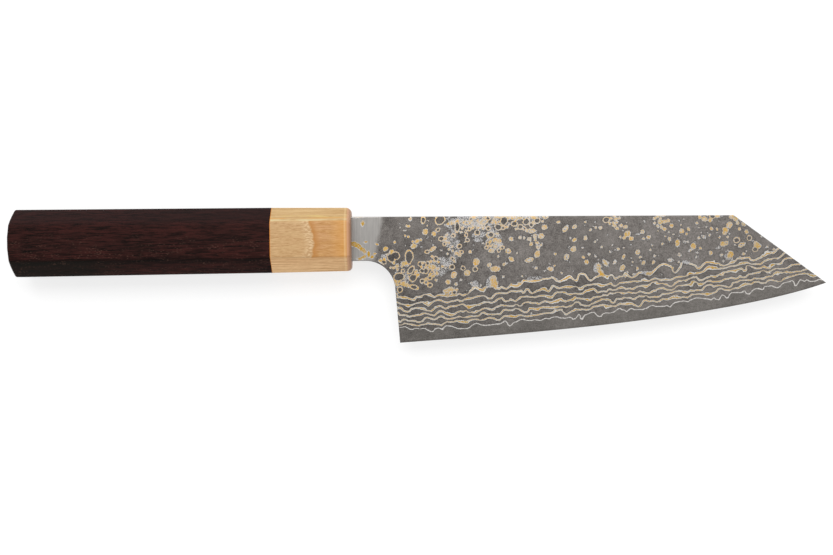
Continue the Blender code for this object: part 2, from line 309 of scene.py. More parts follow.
# Where each sheet comes to the bevel from the heel to the point, and last the core's nickel line,
# placed from the photograph: a pixel across and down, and then the next one
sheetLines = (
    (397, 297, 404, 297, 408, 298, 411, 299.5, 413, 299.5, 415, 298.5, 416.5, 297, 423, 297, 426, 295,
     430, 294.2, 432, 296, 434.5, 297, 438, 295, 442, 295, 447, 296, 455, 295, 460, 294.5, 463, 295.3,
     465, 294.5, 467, 292, 469.5, 291.5, 472, 289.5, 474, 286.5, 475, 286, 477, 288, 480, 290, 483, 291,
     485, 288, 488, 286, 491, 286, 494, 286, 496, 288.5, 499, 289, 501.5, 286.8, 504, 288.3, 506.7, 288.7,
     508.7, 287, 510.7, 285, 513, 286, 518, 285.5, 521, 284, 523, 280.5, 527, 281, 535, 281.2, 539, 280.3,
     542.7, 278.6, 549, 278.5, 551.5, 277.3, 553.5, 277.8, 555.5, 280.5, 558, 281.6, 560, 281.4,
     563, 279.8, 566, 278.4, 569.5, 276, 571.7, 278, 573.3, 281, 575.3, 282, 577, 280, 578, 275.5,
     579.5, 274, 582, 273.5, 585, 274.5, 586.7, 277.3, 588, 279.5, 590.3, 280.6, 592.7, 279.2, 595.5, 277,
     600, 275.7, 604.7, 276, 607.5, 278, 609.5, 277, 611.3, 275.3, 613, 277.7, 615, 278.7, 617, 278,
     619, 276.3, 622, 276, 624, 274, 625, 272.8, 626.7, 274.7, 629.3, 277, 631.3, 278, 634, 276.7,
     636.3, 275, 638, 273, 641.3, 272.3, 644, 272.2, 646, 274, 649, 274.3, 652, 272.7, 654, 270.3,
     656.7, 267.3, 659.3, 265.3, 663.3, 264, 666.7, 264.7, 670, 266.3, 671.8, 268, 672.8, 271.5,
     674.3, 273.2, 676, 272, 678, 269.3, 680, 267, 681, 263.5, 682.7, 261.8, 685.5, 263, 688.7, 263.5,
     692, 264.5, 695, 265.7, 696.5, 268, 698.8, 269, 701, 266.9, 703.5, 263.8, 706, 262.3, 710.5, 262.3,
     715, 263.3, 718.5, 263.1, 720.8, 265.4, 723.5, 266.2, 726.6, 265, 730.5, 263, 735.5, 261.5,
     737, 258.8, 741, 258.5, 748.7, 257.4, 750, 259.8, 753, 260.4, 756, 259.6, 759, 258, 763, 255.8,
     767, 253.5, 774, 252.7, 777, 249, 784, 246),
    (397, 302, 400, 304, 403, 305.2, 407, 305.5, 412, 305, 414.5, 303.7, 416.3, 302.3, 423, 302.3,
     425.3, 304.3, 428.7, 305.3, 431, 303.3, 433.3, 301.3, 437, 300, 441, 300.3, 444.7, 302, 447.7, 302.7,
     450.7, 301.3, 454.7, 300.7, 458, 299.8, 460, 301.5, 461.8, 301, 464.7, 299.3, 469.3, 298.7,
     473.3, 297.7, 477.3, 296, 481, 296.3, 484.7, 297, 488, 298.3, 491.3, 298.3, 493.3, 296, 496, 293.4,
     507, 293, 511, 291, 515, 291.3, 519, 291, 521, 290.2, 522, 292, 523.3, 293.3, 524.7, 291.3, 526, 289,
     528, 289.2, 529.3, 291.3, 531.3, 293.3, 534, 293, 536.3, 291, 540, 290, 542, 288.7, 545, 288.8,
     546.3, 290.7, 548.7, 291.4, 550.6, 289.3, 551.8, 286, 554, 286, 556, 287.3, 559.3, 288.3,
     562.7, 287.3, 566, 286.7, 571, 287, 575, 287.7, 578, 289, 581.3, 288.3, 584, 286, 588, 285, 593, 284,
     597, 284, 600.5, 286, 604, 285.3, 608, 284, 610.7, 283, 612, 285, 614.7, 286, 616.7, 284.7,
     618.7, 282.7, 624, 282.6, 629.3, 282, 633.3, 281, 637.3, 281.3, 641.3, 280.3, 645.3, 280.7,
     648.7, 281.3, 652, 280, 654.3, 278.3, 657.3, 279.3, 661.3, 280, 665.3, 279, 668.7, 280, 672, 279.3,
     674.7, 277.3, 683, 276.3, 686.7, 275.3, 689.3, 273.3, 700, 272.7, 703.5, 271.2, 706, 268.1,
     708.2, 266.4, 712, 267.4, 719, 268.3, 724, 268.1, 729, 266.5, 735, 265.8, 739.7, 263.8, 745.8, 262.7,
     750.5, 264.2, 760, 264.2, 763.5, 261.5, 768, 259.2, 777, 258.8, 780.5, 256.5, 784, 253, 790, 250),
    (397, 308, 401, 308.8, 404, 310.7, 407.3, 311.7, 409.7, 311, 411.5, 308.7, 415.3, 307.7, 420, 307.9,
     423.3, 309, 426.7, 310.7, 431, 311.3, 433.3, 309.7, 435.3, 307.3, 438.7, 306, 440.7, 305.7,
     443.3, 307.7, 445.7, 308.7, 448.3, 307.3, 450, 306, 455, 306, 457.7, 305.3, 460.7, 304.1, 463.3, 304,
     465.3, 305.7, 471.3, 306.3, 475, 305.3, 479, 304.7, 482, 303, 484.3, 301.8, 488, 302.3, 492, 302.6,
     495.3, 301, 498, 298.7, 502, 298.3, 504, 300.7, 506, 301.7, 508.7, 301.7, 510.3, 299.2, 512.7, 300,
     515.3, 301.3, 517.7, 299.3, 520.3, 297, 524, 296.3, 529.3, 296.7, 535, 297.3, 540, 295.8,
     545.3, 295.8, 550, 297.3, 552.3, 296.7, 554, 294, 557.3, 292, 561.3, 292, 565, 292.5, 567.5, 294.3,
     571.3, 294.6, 575, 293.3, 580, 294, 583.3, 293, 586, 290.7, 589.3, 289.7, 593.5, 288.7, 595, 290,
     597, 292.4, 601, 291.3, 605, 291.3, 606.5, 292, 608, 289.4, 610, 289, 612, 290.3, 614.7, 290,
     618, 288, 621.3, 287, 624, 288, 626, 289, 628.7, 288.3, 632, 289.3, 634.7, 287.7, 637.3, 286,
     641.3, 285.7, 646, 287, 648.7, 284.7, 652.7, 283, 656.7, 284, 666, 284.3, 668.7, 285.7, 670.7, 286.3,
     673.3, 284.3, 676, 282.3, 679.3, 280.7, 682, 281.7, 685.3, 280.7, 688, 279.3, 691.3, 278, 696, 276.9,
     698.2, 279.8, 702, 280.4, 706, 278.1, 711.2, 275.8, 715, 276.9, 719, 275.8, 722.8, 272.7,
     727.4, 271.5, 733.5, 270.4, 738.2, 269.2, 741.2, 268.5, 743.5, 270.8, 745.5, 270.4, 747.2, 266.9,
     751.2, 266.5, 755.8, 268.4, 760.5, 268.1, 763.2, 266.2, 765.8, 267.7, 769.7, 268, 771.5, 265,
     776, 264.4, 781, 263.5, 783, 260, 786, 258.5, 789, 258.1, 793, 259.2),
    (398, 312, 399.7, 314.7, 405, 315.3, 409.3, 316.7, 412, 316.3, 415.3, 315.3, 420, 314.7, 423.3, 313.3,
     427.3, 313.3, 431.3, 315, 434.7, 315.3, 436.3, 313.7, 438.7, 311.3, 440.7, 310.7, 443.3, 311.7,
     445.3, 313, 448.7, 314.3, 452, 315, 454.7, 314, 457.3, 312, 460, 310.9, 463.3, 311.7, 468, 311.3,
     472.7, 312, 476, 311, 480, 310.7, 482.7, 309, 485.3, 308, 488.7, 308.7, 492, 309.6, 495.3, 308.7,
     498, 306.3, 501.3, 305, 505.3, 305.3, 510.7, 306.3, 514.7, 305.3, 520, 305, 522.7, 303.7,
     524.7, 301.7, 528, 302, 532, 303, 536, 303, 539.3, 304.3, 542, 302.3, 544.7, 301, 548, 302,
     551.3, 303, 554, 302, 557.3, 301, 560.3, 298.9, 562.7, 300.7, 565.3, 301.7, 568.7, 300.3, 572.7, 299,
     577.3, 298.3, 582, 298.7, 586, 299.3, 589.3, 300.4, 591.3, 299, 594, 297, 597.3, 296.6, 601, 296.7,
     603, 295, 607.3, 295.3, 609.3, 293, 613.3, 293.3, 624, 293.3, 628, 292, 631.3, 293, 635.3, 292.7,
     638.7, 291.3, 641.3, 291.7, 644.7, 293, 648.7, 293.3, 651.3, 291.7, 655.3, 290, 658.7, 288.3,
     662.7, 288, 665.3, 289, 668, 290, 671.3, 290.3, 674.7, 288, 678, 286, 682, 285.3, 686.7, 284.7,
     690, 285, 692.5, 283, 695, 282, 697.5, 284.3, 702.8, 283.8, 706.6, 281.2, 709.7, 280.4, 712, 281.9,
     716.6, 281.5, 721.2, 281.2, 723.5, 279.4, 727, 278.8, 731.2, 277.7, 735, 278.5, 738.2, 278.1,
     739.7, 276.2, 742, 277.3, 745, 277.3, 748.2, 274.6, 752.8, 273.5, 757.4, 272.7, 762.8, 272.2,
     767.4, 272.3, 772, 270, 776.6, 268.5, 780.5, 268.8, 785, 269.2, 788.2, 267.3, 791.2, 265, 796, 264.2,
     800, 264.2, 804, 263),
    (398.3, 321, 400.3, 322.3, 402.7, 320, 405.3, 319.3, 409.3, 321, 414.7, 320.7, 417.3, 322, 420, 322.3,
     423, 320.7, 425, 317.8, 427.3, 317.2, 430.7, 318.7, 434, 319.5, 436.7, 318.7, 438.3, 317, 441, 316.1,
     443.3, 316.7, 445.3, 318.3, 449.3, 319, 453.3, 318.3, 458.7, 316.7, 462.7, 317.3, 466.7, 317.3,
     470.7, 316.3, 478.7, 316, 481, 313.3, 483.7, 312.3, 486, 314, 488.7, 314.7, 492, 314.4, 496, 314,
     500, 314.3, 502, 312, 503.5, 309.7, 506.7, 309.7, 510.7, 310.3, 514, 309.7, 519.3, 309.3, 521.3, 311,
     524, 312.3, 526.7, 312.3, 528.3, 310.7, 529.5, 308, 532.7, 308.3, 537.3, 309.3, 541.3, 307,
     544.7, 307.3, 554, 307.3, 558.7, 307, 562.7, 306.3, 566, 307, 569.3, 306.3, 573.3, 305, 576, 302.4,
     578.7, 302.3, 580.7, 304.3, 584, 305.3, 588.7, 305.7, 592, 303.7, 595.3, 302.3, 599.3, 300.7,
     603.3, 299.3, 608, 299.3, 610, 300.3, 611.2, 302.4, 613.3, 303.3, 614.9, 302, 616, 298.9, 618.7, 299,
     621.3, 299.3, 624, 297.3, 628, 296.7, 630.7, 298, 633.3, 299.3, 636, 297.7, 638.7, 296.3, 646, 297,
     650, 297.3, 654, 296.7, 658, 297, 660.7, 295.7, 662.2, 293.5, 666, 293.7, 670.7, 293, 674.7, 291.3,
     678.7, 291, 687.3, 291.7, 690.7, 290.3, 692.7, 291.4, 696, 290, 702, 290, 704, 287.3, 706.6, 285,
     711.2, 284.6, 713.5, 286.6, 718.2, 285.4, 724.3, 286.2, 728.9, 287.7, 731, 286.5, 732.5, 282.6,
     735.8, 282.3, 739.7, 280.4, 745, 279.6, 749, 280.4, 752, 280, 753.8, 278.2, 758.2, 278.8,
     763.5, 278.8, 766.6, 276.9, 772, 276.2, 773.8, 273.3, 776.6, 271.9, 780.5, 272.3, 783.5, 274.2,
     786.6, 272.7, 792, 272.7, 796.6, 271.5, 800.5, 271.5, 803.5, 270, 809, 268),
    (399, 324.7, 402, 324.7, 404.7, 323, 408, 323.7, 411.3, 324.7, 418.7, 325.7, 421.3, 324.3,
     424.7, 324.6, 428, 323, 431.3, 323.7, 435.3, 324, 438.7, 324.7, 441.3, 325.7, 443.7, 323.3,
     446.7, 321.5, 453.3, 322, 456.7, 320.4, 460, 321.7, 467.3, 322, 469.5, 320, 474, 319.3, 484, 319.7,
     487.3, 318, 490.7, 317.7, 494.7, 318.7, 497.3, 320, 500, 320, 502, 317.7, 504, 316, 512.7, 316.3,
     515.3, 317.2, 518, 315.3, 520.7, 315, 524, 316, 528, 316.3, 532, 315.3, 537.3, 314.7, 542.7, 313.3,
     548, 313, 552, 312.6, 555.3, 311, 558.7, 309.7, 562, 309.3, 563.7, 310.6, 565, 314, 566.8, 314.6,
     569.3, 312.7, 572.7, 311, 576, 309.3, 579.3, 309.7, 582.7, 309, 586.7, 309.7, 590, 309, 593.3, 306.7,
     597, 306.3, 602, 304.8, 604, 305.2, 606, 306.5, 609.3, 306, 615.3, 306.3, 617.3, 305, 620, 303.7,
     625.3, 304.3, 631.3, 303.7, 634.7, 305, 638, 306.7, 640.3, 306, 642, 303, 643.5, 300.5, 646, 299.8,
     648.7, 301.3, 652.7, 300.7, 656, 302, 659.3, 301.3, 662.7, 298.8, 666, 299, 669.3, 298.7, 672, 297.2,
     676, 297.4, 679.3, 298.3, 682, 297, 684.7, 296.7, 686.7, 297.7, 690, 296, 691.3, 294.4, 695.8, 294.4,
     702, 293.5, 707.4, 293.9, 712.8, 293.1, 715.5, 292.3, 717.6, 289.2, 720.5, 288.1, 724.3, 289.6,
     729.7, 290, 733.5, 288.2, 738.2, 288.1, 741.2, 285.8, 745, 283.9, 751.2, 284.2, 753.7, 281.9,
     758.2, 281.5, 761.2, 283.1, 765, 283.1, 768.2, 280.4, 775, 279.6, 777.4, 281.5, 780.5, 280.4,
     784.3, 278.5, 790.5, 276.5, 795.8, 275, 801.2, 273.8, 807.4, 273.5, 809.7, 274.6, 813.5, 275.8,
     816, 275.5),
    (399.3, 327, 402, 327, 405.3, 326.3, 408, 327.7, 410, 329.3, 412.7, 329.6, 414.7, 328.3, 421.3, 328,
     425.3, 328.7, 428, 330, 430.7, 331.6, 433, 331.6, 434.8, 328.8, 438, 328, 441.3, 328.5, 444, 327,
     445.7, 325.4, 448.7, 325.7, 452.7, 326.3, 456, 327.7, 458.7, 328.5, 466.7, 328.7, 470, 327, 472, 325,
     474.7, 323.7, 478, 323.3, 481.3, 325, 485.3, 325.3, 494.7, 324.3, 500.7, 323.8, 502.7, 322,
     505.3, 320.7, 507, 322.2, 508, 324.8, 509.7, 325.6, 511.7, 324.7, 513.3, 322.3, 516.7, 321.7,
     520, 319.7, 522.7, 319, 526.7, 320.3, 530.7, 320.3, 534.7, 319.7, 541.3, 320.2, 544.7, 318.4,
     549.3, 319, 552, 317.3, 556.7, 316.7, 561.3, 318, 566, 318, 569.3, 317, 571.3, 317.7, 573, 319,
     575.3, 318.7, 577, 316.7, 578.2, 314.4, 579.6, 314.4, 580.6, 317.8, 583, 316.7, 585.3, 315,
     588.7, 313.7, 591.3, 312.3, 594, 312.4, 595.7, 314, 597.3, 316, 599.5, 316.8, 601.3, 316, 602.7, 314,
     606, 312.7, 610.7, 312.3, 614, 311.7, 617.3, 309, 620, 308.4, 622, 310, 624, 310, 626.3, 311.7,
     628.7, 310, 631.3, 308.2, 634.7, 309.7, 642.7, 309.3, 646.7, 308, 650, 306, 652.7, 305, 655.3, 306.3,
     663.3, 306.3, 666.7, 305.7, 670.3, 306.7, 672, 304.7, 675.3, 302.3, 679.3, 301.7, 683.3, 301,
     687.3, 301.7, 690.7, 299.7, 694, 298.2, 699, 298, 703.5, 298.5, 711.2, 299.6, 713.5, 297.4,
     715.8, 299.4, 718.9, 299.6, 720.6, 296.5, 722, 294.7, 724.3, 295.5, 726.2, 298, 727.9, 297.8,
     729.2, 294.6, 731.2, 292.7, 738, 292.3, 745, 292.3, 747, 293.7, 749.7, 293.8, 752, 290.8, 755, 288.6,
     759, 288.5, 761.2, 289.5, 763.2, 288.8, 764.9, 286.3, 772, 285.8, 774, 287.3, 777.4, 287.7,
     780, 286.2, 782.8, 283.2, 787.4, 282.3, 792, 280.5, 793.6, 282, 794.6, 285.6, 796, 286, 798, 282.7,
     799.9, 279.7, 802, 280, 804.3, 281.4, 806.6, 279.4, 809, 281.1, 813.5, 281.4, 816.6, 280.4,
     819, 279.5, 822, 280),
)

# Swellings, where a sheet lies flatter and shows wider: across, down, radius in mm, length
# over width and turn in degrees, these last two only where they aren't 1 and 0
swells = (
    (449, 314, 1.0, 2.6, -18), (471, 306, 0.9, 1.5), (408, 306, 0.9, 1.3), (404, 298, 0.8, 2.2, -5),
    (557, 301, 1.2, 2.0, 10), (544, 289, 0.9, 1.6), (549, 297, 0.8, 1.8), (553, 308, 0.7, 3.0),
    (537, 309, 0.8, 2.0), (512, 316, 0.6, 3.0), (675, 297, 1.0, 2.4), (606, 307, 1.0, 1.4, 70),
    (628, 303, 0.9, 2.4), (692, 285, 1.2, 1.4, 50), (700, 285, 1.2, 1.2), (712, 268, 1.4, 2.4),
    (744, 284, 0.9, 2.0, 20), (707, 295, 0.9, 1.4), (812, 276, 0.8, 2.0), (766, 252, 1.4, 1.6, 30),
    (771, 265, 1.0, 1.5), (762, 273, 0.9, 1.4), (661, 274, 1.0, 1.8, -30), (645, 286, 0.9, 1.4),
    (581, 289, 0.8, 1.5), (589, 290, 0.8, 2.2, 20), (588, 300, 0.8, 1.4), (569, 287, 0.7, 2.6),
    (482, 290, 1.0, 1.6, -30), (475, 287, 0.9, 1.4), (448, 291, 1.6, 2.0, 10), (533, 281, 0.5, 7.0),
    (515, 286, 1.0, 1.8), (566, 278, 1.1, 1.8, 35), (607, 277, 1.0, 1.2), (648, 274, 1.5, 1.3),
    (600, 285, 1.1, 1.2), (423, 308, 0.6, 2.6), (466, 322, 0.6, 2.6), (620, 288, 0.6, 1.6),
    (735, 272, 1.0, 1.2), (743, 263, 0.7, 2.2), (690, 273, 0.6, 2.4), (495, 287, 0.9, 1.5),
    (467, 291, 0.8, 1.4), (573, 300, 0.8, 1.2), (430, 295, 0.6, 1.5), (731, 262, 0.9, 1.2),
)

# Dimples struck into the stack before it was ground flat. The large ones are placed from
# the photograph, with the same values as the swellings
rings = (
    (391, 258, 1.5, 1.5, -55), (409, 257, 1.7, 1.75, 84), (399, 277, 1.75, 1.35, 10),
    (413, 278, 1.5, 1.2, 30), (400, 290, 1.25), (454, 292, 1.2), (447, 294, 0.85),
    (414, 287, 1.0, 2.2, -22), (411, 270, 1.2, 1.7, 50), (403, 271, 0.8), (420, 264, 0.95, 1.2, 40),
    (422, 271, 1.05), (426, 271, 1.1, 1.2, 90), (430, 278, 1.0), (430, 285, 1.1, 1.1), (436, 259, 1.15),
    (427, 252, 0.95, 1.1), (452, 267, 1.15), (438, 230, 0.95, 1.1, 60), (423, 220, 1.0, 1.6, 85),
    (440, 220, 1.9, 1.2, 50), (441, 239, 1.1, 1.1), (457, 227, 1.1, 2.4, 85), (477, 232.5, 1.05, 1.2, 20),
    (488, 228.5, 0.95, 1.1), (498, 227, 1.3, 1.1), (504, 221, 1.6, 1.2, 70), (514, 224, 1.2, 1.2),
    (520, 227, 1.15), (526, 221.5, 1.35, 1.2, 30), (537, 221, 1.2, 1.2), (467, 240, 0.95),
    (466, 235, 0.9), (491, 235, 1.15, 1.1), (463, 268, 1.0), (475, 269, 1.15), (376, 254, 1.15),
    (384, 262, 1.0, 1.2, 20), (749, 238, 1.1), (736, 240, 1.3, 1.1), (774, 251, 1.7, 1.1),
    (674, 274, 0.9, 1.1), (459, 246, 1.0, 1.1), (606, 220, 1.3, 1.1),
)
hearts = (
    (476, 262, 1.5, 1.2, 90), (467, 273, 1.45), (454, 275, 1.35, 1.2, 60), (448, 282, 1.15, 1.1),
    (456, 284, 0.75), (495, 269, 1.3, 1.9), (489, 265, 0.9, 1.2, 40), (511, 259, 1.05, 1.4, -30),
    (529, 260, 1.15, 1.8, 10), (550, 269, 1.05, 1.5, -15), (508, 251, 1.15, 1.1), (511, 239, 0.95, 1.1),
    (541, 236, 1.3, 1.1), (544, 227, 1.2, 1.1), (574, 227, 0.95, 1.2, 60), (574, 240, 0.95, 1.1),
    (585, 238, 0.85, 1.4, 70), (565, 229, 1.0, 1.9, 50), (573, 249, 1.3, 1.1, 20),
    (566, 257, 1.1, 1.3, 70), (555, 254, 0.65), (586, 262, 1.15), (583, 257, 0.7),
    (537, 254, 1.25, 1.4, 60), (504, 264, 0.8, 1.3, 30), (625, 227, 0.9), (627, 234, 1.3, 1.2, 40),
    (624, 238, 0.85), (620, 237, 0.6), (642, 232, 1.0, 1.1), (648, 237, 0.95, 1.1),
    (688, 229, 0.8, 1.2, 90), (686, 234, 0.75), (669, 239, 0.8, 1.3, -50), (677, 243, 1.05, 1.7, 80),
    (662, 244, 0.68), (693, 246, 1.25, 1.2, 120), (700, 248, 0.65), (711, 229, 0.8), (709, 235, 0.62),
    (739, 229, 0.8), (729, 225, 1.25, 1.2, 55), (725, 230, 1.2, 1.1), (724, 233, 1.0, 1.1),
    (741, 245, 0.95, 2.0, 28), (757, 246, 1.45, 1.1), (755, 243, 0.8), (730, 255, 1.35, 1.2, 60),
    (710, 253, 0.95), (743, 254, 0.68), (637, 252, 1.15), (640, 257, 0.68), (618, 249, 0.68),
    (601, 247, 0.62), (623, 257, 0.75, 1.8, 70), (605, 263, 0.95, 2.0, -55), (643, 263, 0.85, 1.3, 50),
    (653, 262, 0.8, 1.3, 60), (598.5, 267, 0.75, 2.2, -70), (600.5, 273, 1.2, 1.8, -65),
    (622, 268, 1.15, 1.5, 62), (493, 279, 1.55, 1.1), (494, 284, 1.6, 1.1, 80), (561, 273, 0.6),
    (536, 268, 0.75, 1.1), (648.5, 275, 1.15, 1.3, 40), (424, 213, 1.0, 1.3), (408, 226, 0.8, 1.3),
    (425, 232, 1.25, 1.1, 60), (434, 234, 0.95, 1.3, 110), (417, 241, 0.85, 1.4, 80),
    (414, 246, 1.0, 1.4, 20), (421, 240, 0.7), (413, 242, 0.6), (433, 249, 0.95, 1.7, 40),
    (405, 236, 0.5), (467, 223, 1.0, 2.4, -5), (484, 222, 1.1, 2.0, 20), (511, 217, 1.2, 2.0),
    (530, 231, 1.1, 2.4, -5), (545, 217, 0.9, 1.8), (404, 264, 1.2, 1.2), (432, 267, 1.3, 1.4),
    (416, 272, 0.8, 1.5, 60), (404, 284, 1.0, 2.2, -10), (590, 230, 0.7), (558, 222, 0.8, 1.2),
    (600, 228, 0.8, 1.2, 40), (585, 222, 0.7), (595, 256, 0.6), (650, 250, 0.6), (632, 262, 0.5),
    (696, 223, 0.7), (717, 216, 0.9, 1.5), (735, 219, 1.0, 1.4, -37), (743, 224, 0.9, 1.3, -37),
    (631, 239, 1.0, 1.1), (681, 231, 1.1), (746, 232, 0.9, 1.1, 60), (722, 244, 1.1, 1.1),
    (726, 243, 1.0), (764, 244, 1.0, 1.2, 40), (770, 247, 1.0, 1.2, 40), (614, 226, 1.0),
    (660, 222, 1.1, 1.1), (664, 229, 0.9), (671, 226, 1.0), (704, 219, 1.2, 1.2), (710, 220, 1.0),
    (456, 253, 0.9), (470, 252, 0.9), (450, 223.5, 0.9, 1.5), (488, 235, 1.1, 1.3, 80),
    (534, 218, 0.8, 2.2), (491, 251, 1.0, 1.5, -20), (495, 240, 0.9, 1.3, 40), (397, 266, 0.8, 1.4, 60),
    (418, 275, 0.7, 1.5, 60), (435, 261, 0.8, 1.2), (462, 228, 0.7, 1.3, 80), (499, 217, 0.9, 1.6),
    (519, 218, 0.7, 1.6), (474, 217, 0.8, 1.8, 10), (450, 289, 0.9, 1.7, 10), (445, 291, 0.6, 1.2),
    (457, 289, 0.6), (484, 289, 0.6, 1.6, 40),
)
specks = (
    (643, 239, 0.85, 1.1), (703, 237, 0.9, 1.5, -40), (718, 247, 0.7), (721, 255, 0.8, 1.3, 30),
    (696, 257, 0.8, 1.2), (679, 255, 1.0, 1.2, 60), (723, 261, 0.65), (610, 252, 0.68, 1.3),
    (654, 256, 0.75, 1.2, 60), (684, 242, 0.6, 1.6, -20), (595, 222, 0.6), (612, 245, 0.55),
    (597, 240, 0.5), (670, 260, 0.9, 1.8), (690, 250, 0.7, 2.0, 30), (568, 247, 0.6, 1.5, 60),
    (713, 278.5, 0.5), (723, 282, 0.5, 1.2), (686, 271, 0.6, 1.3, 30), (656, 274, 0.7, 1.2),
    (583, 248, 0.5), (549, 264, 0.5), (614, 262, 0.8, 1.8, 50), (630, 245, 0.5),
)
# The neck's own marks, where brass shows in the bare steel
neckMarks = (
    (354, 244, 0.95, 2.6, -14), (358, 246, 1.0, 2.4, -24), (362, 249, 0.95, 2.4, -38),
    (365, 252, 0.7, 1.6, 40), (363, 224, 0.75, 1.7, 80), (366, 242, 0.6, 1.5), (357, 217, 0.45, 9.0, 2),
    (367, 215, 0.4, 6.0, 4), (364, 257, 0.75, 2.0, 40), (369, 254, 0.65, 2.2, 80), (372, 257, 0.7, 1.4),
    (360, 259, 0.6, 2.2), (377, 244, 0.6, 1.2), (381, 261, 0.7, 1.6, -30), (384, 259, 0.65, 1.3),
    (375, 254, 0.55, 1.4),
)

# Groups of smaller dimples: x, y, half length, half height, turn, how many, radius from and to, and depth
# from and to
dimpleGroups = (
    (18.0, -15.0, 5.5, 8.5, -20, 20, 0.5, 0.9, 0.95, 1.35),
    (31.0, -12.5, 4.8, 6.5, -15, 18, 0.6, 1.0, 0.98, 1.40),
    (40.5, -4.5, 3.2, 7.0, 22, 14, 0.5, 0.9, 0.98, 1.35),
    (49.0, 4.8, 9.0, 3.6, 0, 12, 0.5, 1.0, 0.98, 1.45),
    (66.0, 6.4, 10.5, 3.2, 0, 18, 0.5, 1.1, 0.98, 1.50),
    (56.5, -1.5, 4.4, 4.2, 0, 10, 0.5, 0.9, 0.98, 1.25),
    (71.0, -1.5, 5.0, 3.0, 0, 8, 0.6, 0.9, 0.98, 1.25),
    (104.0, 5.5, 3.0, 2.8, 0, 9, 0.6, 0.9, 0.98, 1.25),
    (122.8, 5.4, 3.6, 3.2, -25, 14, 0.6, 0.9, 0.98, 1.25),
    (141.0, 7.4, 3.6, 1.4, 0, 8, 0.7, 1.1, 1.00, 1.35),
    (153.0, 5.9, 3.2, 1.4, -37, 6, 0.6, 0.9, 0.98, 1.15),
)

# Places where the first sheet lies nearly level with the face: x, y, half length, half height, turn and
# depth
levelPlaces = (
    (48.0, 6.6, 10.8, 3.8, 0, 0.875),
    (67.0, 8.0, 10.5, 1.9, 0, 0.865),
    (40.0, -1.5, 3.4, 9.0, 15, 0.872),
    (35.5, -11.0, 5.8, 3.6, 20, 0.840),
    (19.0, -15.5, 3.8, 7.2, -20, 0.855),
    (56.0, -1.0, 4.2, 4.8, 0, 0.875),
    (50.5, 1.5, 3.2, 3.6, 0, 0.860),
    (71.7, -15.8, 3.8, 1.1, 0, 0.880),
    (48.5, -18.0, 3.0, 1.3, 0, 0.890),
    (55.3, -17.2, 2.7, 2.7, 0, 0.885),
    (96.9, -12.7, 1.5, 3.0, -20, 0.885),
    (116.1, -15.0, 1.6, 1.3, 0, 0.885),
    (131.5, -10.5, 2.2, 1.0, -10, 0.885),
    (149.3, -8.0, 2.3, 2.1, 0, 0.885),
    (163.6, -6.8, 2.4, 1.7, 30, 0.885),
)

# Dimples strewn over the whole face: how many, their lowest place, least radius, what is added to it and
# to what power of chance, least depth, what is added to it, most length over width and room they keep
looseDimples = (
    (125, -19, 0.34, 0.32, 1.5, 0.95, 0.20, 1.25, 0.35),
    (170, -20, 0.16, 0.26, 2.0, 0.89, 0.04, 1.5, None),
)
looseFrom, looseTo, looseTop = 16, 172, 8.6       # mm, their range along and the highest place

hashPrimes = (374761393, 668265263, 2147483647, 1274126177)
lowBits = 0xFFFFFFFF


def latticeValues(column, row, seed):
    # a value between 0 and 1 for each corner of a grid, that looks random and is always the same
    mixed = (column * hashPrimes[0] + row * hashPrimes[1] + seed * hashPrimes[2]) & lowBits
    mixed = ((mixed ^ (mixed >> 13)) * hashPrimes[3]) & lowBits
    return ((mixed ^ (mixed >> 16)) & lowBits) / lowBits


def ripple(x, y, sizeX, sizeY, seed):
    # soft random hills and hollows between -1 and 1, of the given size in millimetres
    u = x / sizeX
    v = y / sizeY
    column = np.floor(u).astype(np.int64)
    row = np.floor(v).astype(np.int64)
    u = u - column
    v = v - row
    u = u ** 3 * (u * (u * 6 - 15) + 10)
    v = v ** 3 * (v * (v * 6 - 15) + 10)
    low, high = [latticeValues(column, at, seed) * (1 - u) + latticeValues(column + 1, at, seed) * u
                 for at in (row, row + 1)]
    return 2 * (low * (1 - v) + high * v) - 1


def ripples(x, y, seed, key):
    return sum(height * ripple(x, y, *sizes, seed + more) for height, *sizes, more in stack[key])


def smoothStep(share):
    share = np.clip(share, 0, 1)
    return share * share * (3 - 2 * share)


def smoothed(values, count):
    # a running mean of so many values, with most weight on the middle one
    window = np.hanning(count) / np.hanning(count).sum()
    return np.convolve(np.pad(values, count // 2, mode="edge"), window, mode="valid")


def turnedFrom(x, y, centreX, centreY, angle, sizeX=1.0, sizeY=1.0):
    # how far points lie from a centre, along and across a direction, in units of a size
    along = (x - centreX) * math.cos(angle) + (y - centreY) * math.sin(angle)
    across = (y - centreY) * math.cos(angle) - (x - centreX) * math.sin(angle)
    return along / sizeX, across / sizeY


def nearTo(x, y, centreX, centreY, reachX, reachY):
    return np.nonzero((np.abs(x - centreX) < reachX) & (np.abs(y - centreY) < reachY))[0]


patternStart, patternRun = 12, 150        # mm along the blade


def movedAlong(x, shift):
    # what leaves the pattern at the point comes in again at the heel
    return patternStart + (x - patternStart + shift) % patternRun


def placed(marks):
    # each mark's place on the blade; one without a length over width is round, one without a turn level
    for mark in marks:
        across, down, radius, stretch, turn = mark + (1.0, 0)[len(mark) - 3:]
        yield *onBlade(across, down), radius, stretch, math.radians(turn)


lineStep = 0.1                      # mm between the points that hold a sheet's line


